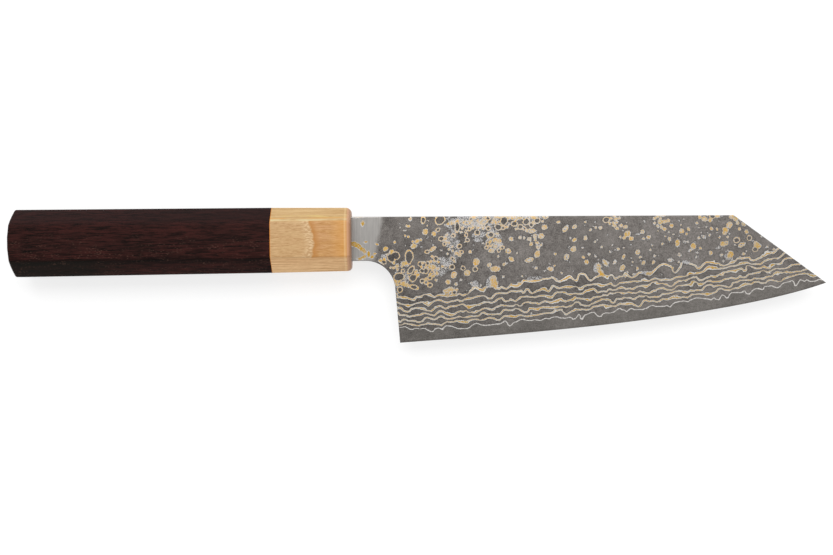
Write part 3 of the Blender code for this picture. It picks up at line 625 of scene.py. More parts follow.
def lineHeights(side):
    # each sheet's height along the blade, its corners eased; the left side's run the other way
    along = np.arange(blade["heelX"] - 4, tipX + 4, lineStep)
    heights = []
    for line in sheetLines:
        points = np.array([onBlade(across, down) for across, down in zip(line[::2], line[1::2])])
        points = points[np.argsort(points[:, 0])]
        turned = np.minimum(along, 2 * points[-1, 0] - along)       # past its end a line runs back
        height = smoothed(np.interp(turned, points[:, 0], points[:, 1] - edgeY(points[:, 0])), 5)
        if heights:
            height = np.minimum(height, heights[-1] - stack["leastGap"])
        heights.append(height)
    heights = np.array(heights)
    if side["sign"] < 0:
        heights = heights[:, ::-1]
    return along, heights + edgeY(along)


def grindDepth(x, y, side):
    # the bevel runs down through the sheets from each line to the next, each line equally wide
    along, lines = side["lines"]
    rise = np.gradient(lines, along, axis=1)
    secant = np.sqrt(1 + rise ** 2)
    search = 16         # how many of a line's points are tried to each side, every second one
    nearest = np.clip(np.round((x - along[0]) / lineStep).astype(int), search, len(along) - search - 1)
    away = np.full((len(lines), len(x)), farAway)
    for step in range(-search, search + 1, 2):
        at = nearest + step
        alongLine = (x - along[at] + (y - lines[:, at]) * rise[:, at]) / secant[:, at]
        offLine = (y - lines[:, at] - (x - along[at]) * rise[:, at]) / secant[:, at]
        past = np.maximum(np.abs(alongLine) - 1.2 * lineStep * secant[:, at], 0)
        away = np.minimum(away, np.hypot(past, offLine))
    passed = np.sum([y < np.interp(x, along, line) for line in lines], axis=0)
    points = np.arange(len(x))
    fromUpper = away[np.maximum(passed - 1, 0), points]
    fromLower = away[np.minimum(passed, len(lines) - 1), points]
    slope = stack["bevelSlope"]
    gap = np.maximum(fromUpper + fromLower, 0.01)
    power = np.maximum(slope * gap, 0.6)        # lines close together keep some steel between them
    off = 0.5 * (1 - (1 - 2 * np.minimum(fromUpper, fromLower) / gap) ** power)
    depth = np.where(fromUpper < fromLower, passed + off, passed + 1 - off)
    depth = np.where(passed == 0, 1 - slope * fromLower, depth)
    return np.where(passed == len(lines), len(lines) + slope * fromUpper, depth)


def drawDimples(seed, shift):
    # every dimple as x, y, radius, depth, length over width and turn; the left side's are moved along
    draw = np.random.default_rng(seed)
    dimples = []
    for marks, size, key in ((rings, 1.0, "ringDepth"), (hearts, 0.9, "heartDepth"),
                             (specks, 0.75, "speckDepth")):
        shallow, deep = stack[key]
        for x, y, radius, stretch, turn in placed(marks):
            deepest = draw.uniform(shallow, deep)
            if marks is hearts and radius > stack["largeHeart"]:
                deepest = 1.0 + 0.4 * (deepest - shallow)
            dimples.append((movedAlong(x, shift), y, size * radius, deepest, stretch, turn))
    for x, y, radius, stretch, turn in placed(neckMarks):
        dimples.append((x, y, radius, 1.0, stretch, turn))
    taken = [(x, y, radius * math.sqrt(stretch)) for x, y, radius, _, stretch, _ in dimples]
    for groupX, groupY, halfX, halfY, turn, count, small, large, shallow, deep in dimpleGroups:
        groupX = movedAlong(groupX, shift)
        angle = math.radians(turn)
        for _ in range(count):
            for _ in range(stack["groupTries"]):
                around = draw.uniform(0, 2 * math.pi)
                out = math.sqrt(draw.uniform())
                u = halfX * out * math.cos(around)
                v = halfY * out * math.sin(around)
                x = groupX + u * math.cos(angle) - v * math.sin(angle)
                y = groupY + u * math.sin(angle) + v * math.cos(angle)
                size = draw.uniform() ** 1.3
                radius = small + (large - small) * size
                spacing = stack["groupSpacing"]
                if all(math.hypot(x - a, y - b) > spacing * (radius + c) for a, b, c in taken):
                    break
            else:
                continue
            taken.append((x, y, radius))
            depth = shallow + (deep - shallow) * (0.65 * size + 0.35 * draw.uniform())
            dimples.append((x, y, radius, depth, draw.uniform(1.0, 1.2), draw.uniform(0, math.pi)))
    for count, lowest, least, more, power, shallow, deeper, longest, room in looseDimples:
        for _ in range(count):
            x = draw.uniform(looseFrom, looseTo)
            y = draw.uniform(lowest, looseTop)
            radius = least + more * draw.uniform() ** power
            if room is not None:
                if any(math.hypot(x - a, y - b) <= radius + c + room for a, b, c in taken):
                    continue
                taken.append((x, y, radius))
            depth = shallow + deeper * draw.uniform()
            dimples.append((x, y, radius, depth, draw.uniform(1.0, longest), draw.uniform(0, math.pi)))
    return dimples


def stackDepth(x, y, side):
    # returns the depth, and how finely broken up the sheet is there
    seed = side["seed"]
    onFlat = stack["flatDepth"] + ripples(x, y, seed, "flatRipple")
    onBevel = grindDepth(x, y - ripples(x, y, seed, "lineRipple"), side)
    depth = softMax(onFlat, onBevel, stack["bevelSoftness"])
    # level places, ragged at their borders
    risen = ripples(x, y, seed, "levelRipple")
    ragged = ripples(x, y, seed, "levelBorder")
    broken = np.zeros_like(x)
    for placeX, placeY, halfX, halfY, turn, level in levelPlaces:
        placeX = movedAlong(placeX, side["shift"])
        u, v = turnedFrom(x, y, placeX, placeY, math.radians(turn), halfX, halfY)
        rise = smoothStep((stack["levelReach"] - u * u - v * v - ragged) / stack["levelFade"])
        higher = np.minimum(level + risen, stack["levelMost"])
        depth = np.maximum(depth, stack["flatDepth"] + (higher - stack["flatDepth"]) * rise)
        broken = np.maximum(broken, rise)
    # dimples, a little lumpy
    lumpyX = x + ripples(x, y, seed, "lumpsAlong")
    lumpyY = y + ripples(x, y, seed, "lumpsUp")
    for dimpleX, dimpleY, radius, deepest, stretch, turn in drawDimples(seed, side["shift"]):
        reach = radius * stretch + 1.2
        near = nearTo(x, y, dimpleX, dimpleY, reach, reach)
        u, v = turnedFrom(lumpyX[near], lumpyY[near], dimpleX, dimpleY, turn, stretch)
        slope = stack["deepSlope"] if deepest > stack["steepFrom"] else stack["shallowSlope"]
        bowl = 1 - stack["nickelHalf"] + slope * (radius - np.hypot(u, v))
        bowl = -softMax(-bowl, -deepest, stack["bowlSoftness"])
        struck = (bowl > stack["struckDepth"]) & (bowl > depth[near] - stack["struckAbove"])
        broken[near] = np.where(struck, stack["dimpleBroken"], broken[near])
        depth[near] = softMax(depth[near], bowl, stack["rimSoftness"])
    # swellings, which draw the depth towards the sheet
    for swellX, swellY, radius, stretch, angle in placed(swells):
        if side["sign"] < 0:
            swellY -= edgeY(swellX)
            swellX = blade["heelX"] + tipX - swellX
            swellY += edgeY(swellX)
        reach = stack["swellReach"] * radius * stretch
        near = nearTo(x, y, swellX, swellY, reach, reach)
        u, v = turnedFrom(x[near], y[near], swellX, swellY, angle, stretch)
        drawn = stack["swellMost"] * np.exp(-(u * u + v * v) / radius ** 2)
        sheet = np.round(depth[near])
        depth[near] = sheet + (depth[near] - sheet) * (1 - drawn)
    # knots and hooks along the bevel
    draw = np.random.default_rng(seed + 50)
    for _ in range(stack["knots"]):
        knotX = draw.uniform(16, tipX)
        knotY = edgeY(knotX) + draw.uniform(*stack["knotRise"])
        radius = draw.uniform(*stack["knotRadius"])
        push = draw.choice((-1, 1)) * draw.uniform(*stack["knotPush"])
        stretch = draw.uniform(*stack["knotStretch"])
        near = nearTo(x, y, knotX, knotY, 3 * radius * stretch, 3 * radius)
        u, v = turnedFrom(x[near], y[near], knotX, knotY, 0, radius * stretch, radius)
        depth[near] += push * np.exp(-u * u - v * v)
    return depth + ripples(x, y, seed, "fineRipple"), broken


sides = {
    "right": {"seed": stack["seed"], "shift": 0.0, "sign": 1},
    "left": {"seed": stack["leftSeed"], "shift": 61.0, "sign": -1},
}

# Where each side's cladding ends on the bevel: just below the nickel line along the core, which is looked
# for at 75 heights above the edge, in 700 places along it
borderX = np.linspace(14, tipX, 700)
borderRise = np.linspace(0.9, 12, 75)
gridX, gridRise = np.meshgrid(borderX, borderRise, indexing="ij")
for side in sides.values():
    side["lines"] = lineHeights(side)
    depths = stackDepth(gridX.ravel(), (edgeY(gridX) + gridRise).ravel(), side)[0]
    aboveCore = depths.reshape(gridX.shape) < stack["coreDepth"] + stack["borderBelow"]
    lowest = borderRise[np.argmax(aboveCore, axis=1)]
    padded = np.pad(lowest, 4, mode="edge")
    lowest = np.minimum.reduce([padded[i:i + len(lowest)] for i in range(9)])
    side["border"] = smoothed(lowest, 9)


def borderHeight(x, side):
    return np.interp(x, borderX, side["border"])


def coreFace(x, y, side):
    # the border surface between cladding and core: it wanders a little where the bevel cuts it
    settled = blade["coreShare"] * halfThickness(x)
    height = borderHeight(x, side)
    atBorder = faceHeight(x, edgeY(x) + height)
    away = np.clip((y - edgeY(x) - height) / blade["coreSettles"], 0, 20)
    return settled + (np.minimum(atBorder, 1.2 * settled + 0.1) - settled) * np.exp(-away)


# How many steps are taken along each line round the blade, in the order that bladeColumns takes them in:
# along the neck, choil, heel and edge, and then as many along the spine, its corner and the back

meshing = {
    "claddingSteps": (16, 54, 36, 444, 425, 6, 119),
    "coreSteps": (10, 36, 40, 334, 290, 6, 124),
    "claddingRows": 148,
    "arrisRows": (0.07, 0.15, 0.22, 0.30),       # mm, rows close to both ends of each column
    "innerRows": 14,
    "coreRows": 66,
    "claddingClear": 0.012,     # mm, least wall
    "coreClear": 0.016,         # mm between the core and the cladding over it
    "pointClear": 0.12,         # mm, where the edge's line stops short of the point
}


def evenSteps(points, count):
    # count even steps along a broken line, without its first point
    points = np.asarray(points, float)
    reach = np.concatenate([[0], np.cumsum(np.hypot(*np.diff(points, axis=0).T))])
    at = np.linspace(0, reach[-1], count + 1)[1:]
    return np.stack([np.interp(at, reach, points[:, 0]), np.interp(at, reach, points[:, 1])], 1)


def bladeColumns(lowerLine, endX, steps):
    # lines across the blade from its lower side to its upper side, as pairs of points
    neckCount, arcCount, heelCount, lowerCount, spineCount, cornerCount, backCount = steps
    shoulder = -blade["shoulderDepth"]
    tangTop = blade["tangHeight"] / 2
    endTop = blade["tangEndHeight"] / 2
    # the tang, its end's corners eased
    tang = [(tangEndX, endTop - 1.4), (tangEndX + 0.45, endTop - 0.4), (tangEndX + 1.5, endTop + 0.02),
            (shoulder - 0.1, tangTop)]
    spineStart = (0.0, float(spineY(0)))
    lower = np.concatenate([
        [(x, -half) for x, half in tang],
        [(shoulder, neckBottom), (0.0, neckBottom)],
        evenSteps([(0, neckBottom), arcLine[0]], neckCount),
        evenSteps(arcLine, arcCount),
        evenSteps([arcLine[-1], lowerLine[0]], heelCount),
        evenSteps(lowerLine, lowerCount),
    ])
    upper = np.concatenate([
        tang,
        [(shoulder, float(spineY(shoulder))), spineStart],
        evenSteps([spineStart, cornerStart], spineCount),
        evenSteps(cornerLine, cornerCount),
        evenSteps([cornerLine[-1], (endX, float(backY(endX)))], backCount),
    ])
    return lower, upper


def sharesAcross(lower, upper, rows, fine):
    # rows across each column, with some close to both ends for the softened arrises
    length = np.hypot(*(upper - lower).T)[:, None]
    ends = np.minimum(np.array(fine), 0.04 * length * np.array(fine) / max(fine))
    middle = np.linspace(0, 1, rows - 2 * len(fine) - 2)[None, :]
    inner = ends[:, -1:] + (length - 2 * ends[:, -1:]) * middle
    distance = np.concatenate([0 * length, ends[:, :-1], inner, length - ends[:, -2::-1], length], axis=1)
    return distance / length


def pointsAcross(lower, upper, shares):
    # x and y at shares of the way from the lower points to the upper ones
    return [lower[:, i:i + 1] + (upper - lower)[:, i:i + 1] * shares for i in (0, 1)]


etching = {"borderX": 12.2, "slant": 0.22, "soft": 2.4}       # the neck's unetched end, mm


def etchShare(x, y):
    edge = etching["borderX"] + etching["slant"] * (y - 8.0) + 0.5 * ripple(x, y, 2.0, 3.0, 71)
    return smoothStep((x - edge) / etching["soft"] + 0.5)


def ringMesh(name, near, far, depth, broken, flip):
    # closed mesh through rings of equally many points, each a near run and then a far one
    points = np.stack([np.concatenate(both, 1) for both in zip(near, far)], -1)
    columns, around = points.shape[:2]
    index = np.arange(columns * around).reshape(columns, around)
    nextAround = np.roll(index, -1, axis=1)
    quads = np.stack([index[:-1], nextAround[:-1], nextAround[1:], index[1:]], -1).reshape(-1, 4)
    caps = [index[0][::-1], index[-1]]
    if flip:
        quads = quads[:, ::-1]
        caps = [cap[::-1] for cap in caps]
    mesh = bpy.data.meshes.new(name)
    faces = quads.tolist() + [cap.tolist() for cap in caps]
    mesh.from_pydata(inWorld(points.reshape(-1, 3)).tolist(), [], faces)
    attributes = {"depth": depth, "broken": broken, "etch": etchShare(points[..., 0], points[..., 1])}
    for key, values in attributes.items():
        layer = mesh.attributes.new(key, "FLOAT", "POINT")
        layer.data.foreach_set("value", values.reshape(-1).astype(np.float32))
    mesh.validate()
    mesh.shade_smooth()
    return mesh


def claddingMesh(name, side):
    startX = float(heelX(edgeY(blade["heelX"]) + borderHeight(blade["heelX"], side)))
    startY = edgeY(startX) + borderHeight(startX, side)
    startX = heelX(startY)
    # the border runs from the heel to where it meets the point's back
    lineX = np.linspace(startX, tipX, 1200)
    lineY = edgeY(lineX) + borderHeight(lineX, side)
    last = np.argmax(lineY > backY(lineX) - meshing["pointClear"])
    lowerLine = np.stack([lineX[:last], lineY[:last]], 1)
    lowerLine[0] = (startX, startY)
    lower, upper = bladeColumns(lowerLine, lineX[last - 1] + 0.08, meshing["claddingSteps"])
    shares = sharesAcross(lower, upper, meshing["claddingRows"], meshing["arrisRows"])
    x, y = pointsAcross(lower, upper, shares)
    outer = faceHeight(x, y)
    depth, broken = stackDepth(x.ravel(), y.ravel(), side)
    innerX, innerY = pointsAcross(lower, upper, np.linspace(1, 0, meshing["innerRows"])[None, :] ** 1.5)
    mostInner = faceHeight(innerX, innerY) - meshing["claddingClear"]
    inner = np.minimum(coreFace(innerX, innerY, side), mostInner)
    depth = np.concatenate([depth.reshape(x.shape), np.full(inner.shape, float(stack["coreDepth"]))], 1)
    broken = np.concatenate([broken.reshape(x.shape), np.zeros(inner.shape)], 1)
    return ringMesh(name, (x, y, side["sign"] * outer), (innerX, innerY, side["sign"] * inner),
                    depth, broken, side["sign"] < 0)


def coreMesh(name):
    lineX = np.linspace(blade["heelX"], tipX - meshing["pointClear"], 900)
    lowerLine = np.stack([lineX, edgeY(lineX)], 1)
    lower, upper = bladeColumns(lowerLine, tipX - 0.10, meshing["coreSteps"])
    shares = np.linspace(0, 1, meshing["coreRows"])[None, :] ** 1.7 + 0 * lower[:, :1]
    x, y = pointsAcross(lower, upper, shares)
    faces = []
    for side in (sides["right"], sides["left"]):
        bare = (y < edgeY(x) + borderHeight(x, side)) & (x > arcCentre[0])
        face = faceHeight(x, y)
        covered = np.minimum(coreFace(x, y, side), face) - meshing["coreClear"]
        faces.append(side["sign"] * np.where(bare, face, covered))
    wholeRing = (len(lower), 2 * meshing["coreRows"])
    return ringMesh(name, (x, y, faces[0]), (x[:, ::-1], y[:, ::-1], faces[1][:, ::-1]),
                    np.full(wholeRing, stack["coreDepth"] + 1.0), np.zeros(wholeRing), False)


# Blade finish

def fromMouth(tree, place):
    # millimetres from the ferrule's mouth, along, up and through the handle
    local = addNode(tree, "ShaderNodeVectorMath", {0: place, 1: tuple(datum)}, operation="SUBTRACT")
    inMm = addNode(tree, "ShaderNodeVectorMath", {0: local, "Scale": 1 / mm}, operation="SCALE")
    return addNode(tree, "ShaderNodeSeparateXYZ", {0: inMm}).outputs


laminate = {
    "ragSize": 0.42,            # mm, grain of the raggedness of the sheets' edges,
    "ragOnBevel": 0.055,        # which stray this far in depth where they are cut across,
    "ragOnLevel": 0.20,         # or this far where a sheet lies level and breaks up into flecks
    "grit": ((0.36, 1.0, 0.46), (1.4, 4.0, 0.28), (12.0, 2.0, 0.26)),      # mm, detail and share of each
    "claddingSteel": ("#2D2A28", "#847F7B"),
    "coreSteel": ("#423F3C", "#7C7874"),
    "besideSheet": "#2E2B29",   # steel that the acid bit deeper, close to a sheet
    "besideWidth": 0.09,        # in depth
    "besideMost": 0.55,
    "inDimple": "#2A2826",      # and deepest in the dimples
    "inDimpleMost": 0.30,
    "brushedSteel": ("#747270", "#979490"),
    "brushSize": (0.5, 9.0, 0.5),                # mm
    "nickel": "#C0BFBC",
    "nickelFleck": "#A3A2A2",
    "coreNickel": "#C8C4BF",
    "brass": ("#A78A4A", "#B98C23"),
    "brassSize": 2.4,           # mm, from one brass colour to the other
    "neckBrass": "#A07C1E",
    "rolledSize": 5.0,          # mm, stretches in which the brass is rolled thicker,
    "rolled": 0.055,            # by up to this much of the depth,
    "rolledMean": 0.024,        # less about what that comes to on average
    "heelRings": (46.0, 26.0, 0.012),            # towards the heel, from and to mm, rings show more brass
    "fleckBrass": 0.06,         # flecks are nearly all nickel: their brass is this much narrower
    "heelToPointTone": (-0.11, 0.07),      # the steel is darker at the heel than towards the point
    "heelToPointFrom": 27.0,           # mm
    "heelToPointTo": 138.0,
    "steelRoughness": 0.52,
    "sheetRoughness": 0.34,
    "pitSize": 0.25,            # mm
    "pitDepth": 0.25,           # as a share of how far the sheets stand up,
    "relief": 0.03,             # in mm
}


def etchedLaminate(name):
    # forged steel, nickel and brass, ground and then etched in acid: the steel comes out dark and
    # matte, the nickel and brass stay bright and stand up a hair above it
    material, tree = newMaterial(name)
    look = laminate
    place = addNode(tree, "ShaderNodeTexCoord").outputs["Object"]
    along = fromMouth(tree, place)["X"]
    depthIn, etch, broken = [addNode(tree, "ShaderNodeAttribute", attribute_name=key).outputs["Fac"]
                             for key in ("depth", "etch", "broken")]
    noises = {}
    for key, size, detail, roughness in (
            ("rag", look["ragSize"], 3.0, 0.7), ("rolled", look["rolledSize"], 1.0, 0.5),
            ("brass", look["brassSize"], 2.0, 0.5), ("pits", look["pitSize"], 2.0, 0.5),
            *((number, *grit[:2], 0.7) for number, grit in enumerate(look["grit"]))):
        noises[key] = addNode(tree, "ShaderNodeTexNoise", {
            "Vector": place, "Scale": 1 / (size * mm), "Detail": detail, "Roughness": roughness})
    rag = addNode(tree, "ShaderNodeMapRange", {
        "Value": noises["rag"], "From Min": 0.3, "From Max": 0.7, "To Min": -1.0}, clamp=False)
    ragSize = addNode(tree, "ShaderNodeMapRange", {
        "Value": broken, "To Min": look["ragOnBevel"], "To Max": look["ragOnLevel"]})
    depth = addNode(tree, "ShaderNodeMath", {0: rag, 1: ragSize, 2: depthIn}, operation="MULTIPLY_ADD")
    off = addNode(tree, "ShaderNodeMath", {0: depth, 1: 0.5}, operation="PINGPONG")
    # sheets lie between depth 0.5 and 6.5
    coreDepth = float(stack["coreDepth"])
    middle = coreDepth / 2
    inStack = addNode(tree, "ShaderNodeMath", {0: depth, 1: middle, 2: middle - 0.5}, operation="COMPARE")
    fromCore = addNode(tree, "ShaderNodeMath", {0: depth, 1: coreDepth}, operation="SUBTRACT")
    offCore = addNode(tree, "ShaderNodeMath", {0: fromCore}, operation="ABSOLUTE")
    inCore = addNode(tree, "ShaderNodeMath", {0: fromCore, 1: 0.0}, operation="GREATER_THAN")
    # the brass widens in rolled stretches and in rings near the heel, and narrows in flecks
    ringFrom, ringTo, ringBrass = look["heelRings"]
    ringed = addNode(tree, "ShaderNodeMapRange", {"Value": broken, "From Max": stack["dimpleBroken"]})
    atHeel = addNode(tree, "ShaderNodeMapRange", {
        "Value": along, "From Min": ringFrom, "From Max": ringTo, "To Max": -ringBrass})
    flecked = addNode(tree, "ShaderNodeMapRange", {"Value": broken, "From Min": 0.5})
    offBrass = off
    for share, most in ((noises["rolled"], -look["rolled"]), (ringed, atHeel),
                        (flecked, look["fleckBrass"])):
        offBrass = addNode(tree, "ShaderNodeMath", {
            0: share, 1: most, 2: offBrass}, operation="MULTIPLY_ADD")
    # each metal shows where the depth is within its half of the sheet
    here = {}
    for key, away, half, soft, within in (
            ("sheet", off, stack["nickelHalf"], 0.02, inStack),
            ("brass", offBrass, stack["brassHalf"] - look["rolledMean"], 0.02, inStack),
            ("beside", off, stack["nickelHalf"] + look["besideWidth"], 0.07, inStack),
            ("coreLine", offCore, stack["coreNickelHalf"], 0.025, 1.0)):
        near = addNode(tree, "ShaderNodeMapRange", {
            "Value": away, "From Min": half + soft, "From Max": half - soft},
            interpolation_type="SMOOTHSTEP")
        here[key] = addNode(tree, "ShaderNodeMath", {0: near, 1: within}, operation="MULTIPLY")
    nickelHere = addNode(tree, "ShaderNodeMath", {
        0: here["sheet"], 1: here["coreLine"]}, operation="MAXIMUM")
    # fine grit and mottling of the etched steel, darker at the heel, and the bare neck brushed across the
    # blade
    tones = addNode(tree, "ShaderNodeMapRange", {
        "Value": along, "From Min": look["heelToPointFrom"], "From Max": look["heelToPointTo"],
        "To Min": look["heelToPointTone"][0], "To Max": look["heelToPointTone"][1]})
    for number, (_, _, share) in enumerate(look["grit"]):
        spread = addNode(tree, "ShaderNodeMapRange", {
            "Value": noises[number], "From Min": 0.30, "From Max": 0.70})
        tones = addNode(tree, "ShaderNodeMath", {0: spread, 1: share, 2: tones}, operation="MULTIPLY_ADD")
    brushPlace = addNode(tree, "ShaderNodeMapping", {
        "Vector": place, "Scale": tuple(1 / (size * mm) for size in look["brushSize"])})
    brush = addNode(tree, "ShaderNodeTexNoise", {"Vector": brushPlace, "Scale": 1.0, "Detail": 3.0})
    brassShare = addNode(tree, "ShaderNodeMapRange", {
        "Value": noises["brass"], "From Min": 0.35, "From Max": 0.65})
    besideShare = addNode(tree, "ShaderNodeMath", {
        0: here["beside"], 1: look["besideMost"]}, operation="MULTIPLY")
    # a dimple's floor lies about halfway between the first two sheets
    floorHere = addNode(tree, "ShaderNodeMath", {0: depth, 1: 1.5, 2: 0.36}, operation="COMPARE")
    dimpled = addNode(tree, "ShaderNodeMapRange", {
        "Value": broken, "From Max": stack["dimpleBroken"], "To Max": look["inDimpleMost"]})
    floorShare = addNode(tree, "ShaderNodeMath", {0: floorHere, 1: dimpled}, operation="MULTIPLY")
    dulled = addNode(tree, "ShaderNodeMapRange", {"Value": broken, "From Max": 0.6})
    mixed = {}
    for key, share in (("claddingSteel", tones), ("coreSteel", tones), ("brushedSteel", brush),
                       ("brass", brassShare)):
        low, high = laminate[key]
        mixed[key] = addNode(tree, "ShaderNodeMix", {
            0: share, 6: linear(low), 7: linear(high)}, data_type="RGBA")
    for key in ("besideSheet", "inDimple", "nickel", "nickelFleck", "coreNickel", "neckBrass"):
        mixed[key] = linear(laminate[key])
    # every colour below is an earlier one with another over a share of it
    for key, under, share, over in (
            ("twoSteels", "claddingSteel", inCore, "coreSteel"),
            ("bitten", "twoSteels", besideShare, "besideSheet"),
            ("etched", "bitten", floorShare, "inDimple"),
            ("steel", "brushedSteel", etch, "etched"),
            ("sheetNickel", "brushedSteel", etch, "nickel"),
            ("dullNickel", "sheetNickel", dulled, "nickelFleck"),
            ("allNickel", "dullNickel", here["coreLine"], "coreNickel"),
            ("allBrass", "neckBrass", etch, "brass"),
            ("steelAndNickel", "steel", nickelHere, "allNickel"),
            ("allMetals", "steelAndNickel", here["brass"], "allBrass")):
        mixed[key] = addNode(tree, "ShaderNodeMix", {
            0: share, 6: mixed[under], 7: mixed[over]}, data_type="RGBA")
    # the etched steel scatters, the sheets and the bare neck keep a satin gloss
    bare = addNode(tree, "ShaderNodeMath", {0: 1.0, 1: etch}, operation="SUBTRACT")
    glossy = addNode(tree, "ShaderNodeMath", {0: nickelHere, 1: bare}, operation="MAXIMUM")
    roughness = addNode(tree, "ShaderNodeMapRange", {
        "Value": glossy, "To Min": look["steelRoughness"], "To Max": look["sheetRoughness"]})
    height = addNode(tree, "ShaderNodeMath", {
        0: noises["pits"], 1: look["pitDepth"], 2: nickelHere}, operation="MULTIPLY_ADD")
    bump = addNode(tree, "ShaderNodeBump", {
        "Height": height, "Strength": 0.35, "Distance": look["relief"] * mm})
    shader = addNode(tree, "ShaderNodeBsdfPrincipled", {
        "Base Color": mixed["allMetals"], "Metallic": 1.0, "Roughness": roughness, "Normal": bump})
    addNode(tree, "ShaderNodeOutputMaterial", {"Surface": shader})
    return material


# the core is the same steel: its points lie deeper than the last sheet
cladMetal = etchedLaminate("etchedLaminate")
coreMetal = etchedLaminate("etchedCoreSteel")
for name, side, node in (("bladeRightCladding", "right", "cladding_right"),
                         ("bladeLeftCladding", "left", "cladding_left")):
    addPiece(name, claddingMesh(name, sides[side]), cladMetal, node)
addPiece("bladeCore", coreMesh("bladeCore"), coreMetal, "blade_core")
print("blade made")


# Handle: an eight-sided bar that tapers evenly, rounded over at its ends

handle = {
    "ferruleLength": 31.2,
    "bodyLength": 102.9,
    "mouthHeight": 24.8,
    "mouthThickness": 19.4,
    "jointHeight": 25.5,
    "jointThickness": 20.2,
    "buttHeight": 26.4,
    "buttThickness": 21.0,
    "facetCut": 5.75,
    "arrisRadius": 0.6,
    "mouthRadius": 1.8,
    "jointRadius": 0.12,
    "buttRadius": 0.7,
    "domeRadius": 42.0,
    "neckGap": 0.15,
    "pocketDepth": 3.15,
    "tangSlot": (5.2, 2.2),     # half height and half thickness
    "boreRadius": 7.05,
    "ferruleWall": 8.0,
    "boreEnd": -101.75,
}


def octagonTree():
    tree = bpy.data.node_groups.new("taperedOctagon", "GeometryNodeTree")
    tree.is_modifier = True
    for way in ("INPUT", "OUTPUT"):
        tree.interface.new_socket("Geometry", in_out=way, socket_type="NodeSocketGeometry")
    # its sizes in metres, and then the rest
    for name, size in (
            ("Length", 0.1), ("Start Height", 0.02), ("Start Thickness", 0.02), ("End Height", 0.02),
            ("End Thickness", 0.02), ("Facet Cut", 0.005), ("Arris Radius", 0.001), ("Start Radius", 0.001),
            ("End Radius", 0.001), ("Dome", 0.0), ("Dome Radius", 0.05)):
        socket = tree.interface.new_socket(name, in_out="INPUT", socket_type="NodeSocketFloat")
        socket.default_value = size
    for name, kind in (("Start Place", "Vector"), ("Stations", "Int"), ("Cutter", "Object"),
                       ("Material", "Material")):
        tree.interface.new_socket(name, in_out="INPUT", socket_type="NodeSocket" + kind)
    roundSteps = 8.0
    domeSteps = 14.0
    quarter = math.pi / 2

    # section: a rectangle, its corners cut off, then its arrises rounded
    part = {output.name: output for output in addNode(tree, "NodeGroupInput").outputs}
    rectangle = addNode(tree, "GeometryNodeCurvePrimitiveQuadrilateral", {
        "Width": part["Start Height"], "Height": part["Start Thickness"]})
    octagon = addNode(tree, "GeometryNodeFilletCurve", {
        "Curve": rectangle, "Count": 1, "Radius": part["Facet Cut"]}, mode="POLY")
    eased = addNode(tree, "GeometryNodeFilletCurve", {
        "Curve": octagon, "Count": 3, "Radius": part["Arris Radius"]}, mode="POLY")
    section = addNode(tree, "GeometryNodeSubdivideCurve", {"Curve": eased, "Cuts": 2})
    sectionPlace = addNode(tree, "GeometryNodeInputPosition")
    sectionKept = addNode(tree, "GeometryNodeCaptureAttribute", {"Geometry": section})
    sectionKept.capture_items.new("VECTOR", "across")
    tree.links.new(sectionPlace.outputs[0], sectionKept.inputs["across"])

    # path: close stations over both rounded ends, even ones between, and more over the butt's dome; each
    # row below is a name, an operation and what it works on, by its name or as a number
    part["step"] = addNode(tree, "GeometryNodeInputIndex")
    for key, operation, *terms in (
            ("domeCount", "MULTIPLY", "Dome", domeSteps),
            ("total", "ADD", "Stations", "domeCount"),
            ("lastStep", "SUBTRACT", "Stations", 1.0),
            ("toEnd", "SUBTRACT", "lastStep", "step"),
            ("evenEnd", "SUBTRACT", "lastStep", roundSteps),
            ("over", "SUBTRACT", "step", "lastStep")):
        part[key] = addNode(tree, "ShaderNodeMath", {
            i: part.get(term, term) for i, term in enumerate(terms)}, operation=operation)
    for key, value, fromMin, fromMax, toMin, toMax in (
            ("startTurn", "step", 0.0, roundSteps, 0.0, quarter),
            ("endTurn", "toEnd", 0.0, roundSteps, 0.0, quarter),
            ("even", "step", roundSteps, "evenEnd", 0.0, 1.0),
            ("shrink", "over", 0.0, domeSteps, 1.0, 0.03)):
        part[key] = addNode(tree, "ShaderNodeMapRange", {
            "Value": part[value], "From Min": fromMin, "From Max": part.get(fromMax, fromMax),
            "To Min": toMin, "To Max": toMax})
    for key, operation, *terms in (
            ("bothRadii", "ADD", "Start Radius", "End Radius"),
            ("evenLength", "SUBTRACT", "Length", "bothRadii"),
            ("startCos", "COSINE", "startTurn"),
            ("startSin", "SINE", "startTurn"),
            ("endCos", "COSINE", "endTurn"),
            ("endSin", "SINE", "endTurn"),
            ("startRun", "SUBTRACT", 1.0, "startCos"),
            ("startOut", "MULTIPLY", "startRun", "Start Radius"),
            ("startAndEven", "MULTIPLY_ADD", "even", "evenLength", "startOut"),
            ("along", "MULTIPLY_ADD", "endCos", "End Radius", "startAndEven"),
            ("startDip", "SUBTRACT", 1.0, "startSin"),
            ("startInset", "MULTIPLY", "startDip", "Start Radius"),
            ("endDip", "SUBTRACT", 1.0, "endSin"),
            ("inset", "MULTIPLY_ADD", "endDip", "End Radius", "startInset")):
        part[key] = addNode(tree, "ShaderNodeMath", {
            i: part.get(term, term) for i, term in enumerate(terms)}, operation=operation)
    line = addNode(tree, "GeometryNodeCurvePrimitiveLine", {"End": (0, 0, 1)})
    path = addNode(tree, "GeometryNodeResampleCurve", {"Curve": line, "Count": part["total"]})
    pathKept = addNode(tree, "GeometryNodeCaptureAttribute", {"Geometry": path})
    for key in ("along", "inset", "shrink"):
        pathKept.capture_items.new("FLOAT", key)
    for key in ("along", "inset", "shrink"):
        tree.links.new(part[key].outputs[0], pathKept.inputs[key])
        part[key] = pathKept.outputs[key]

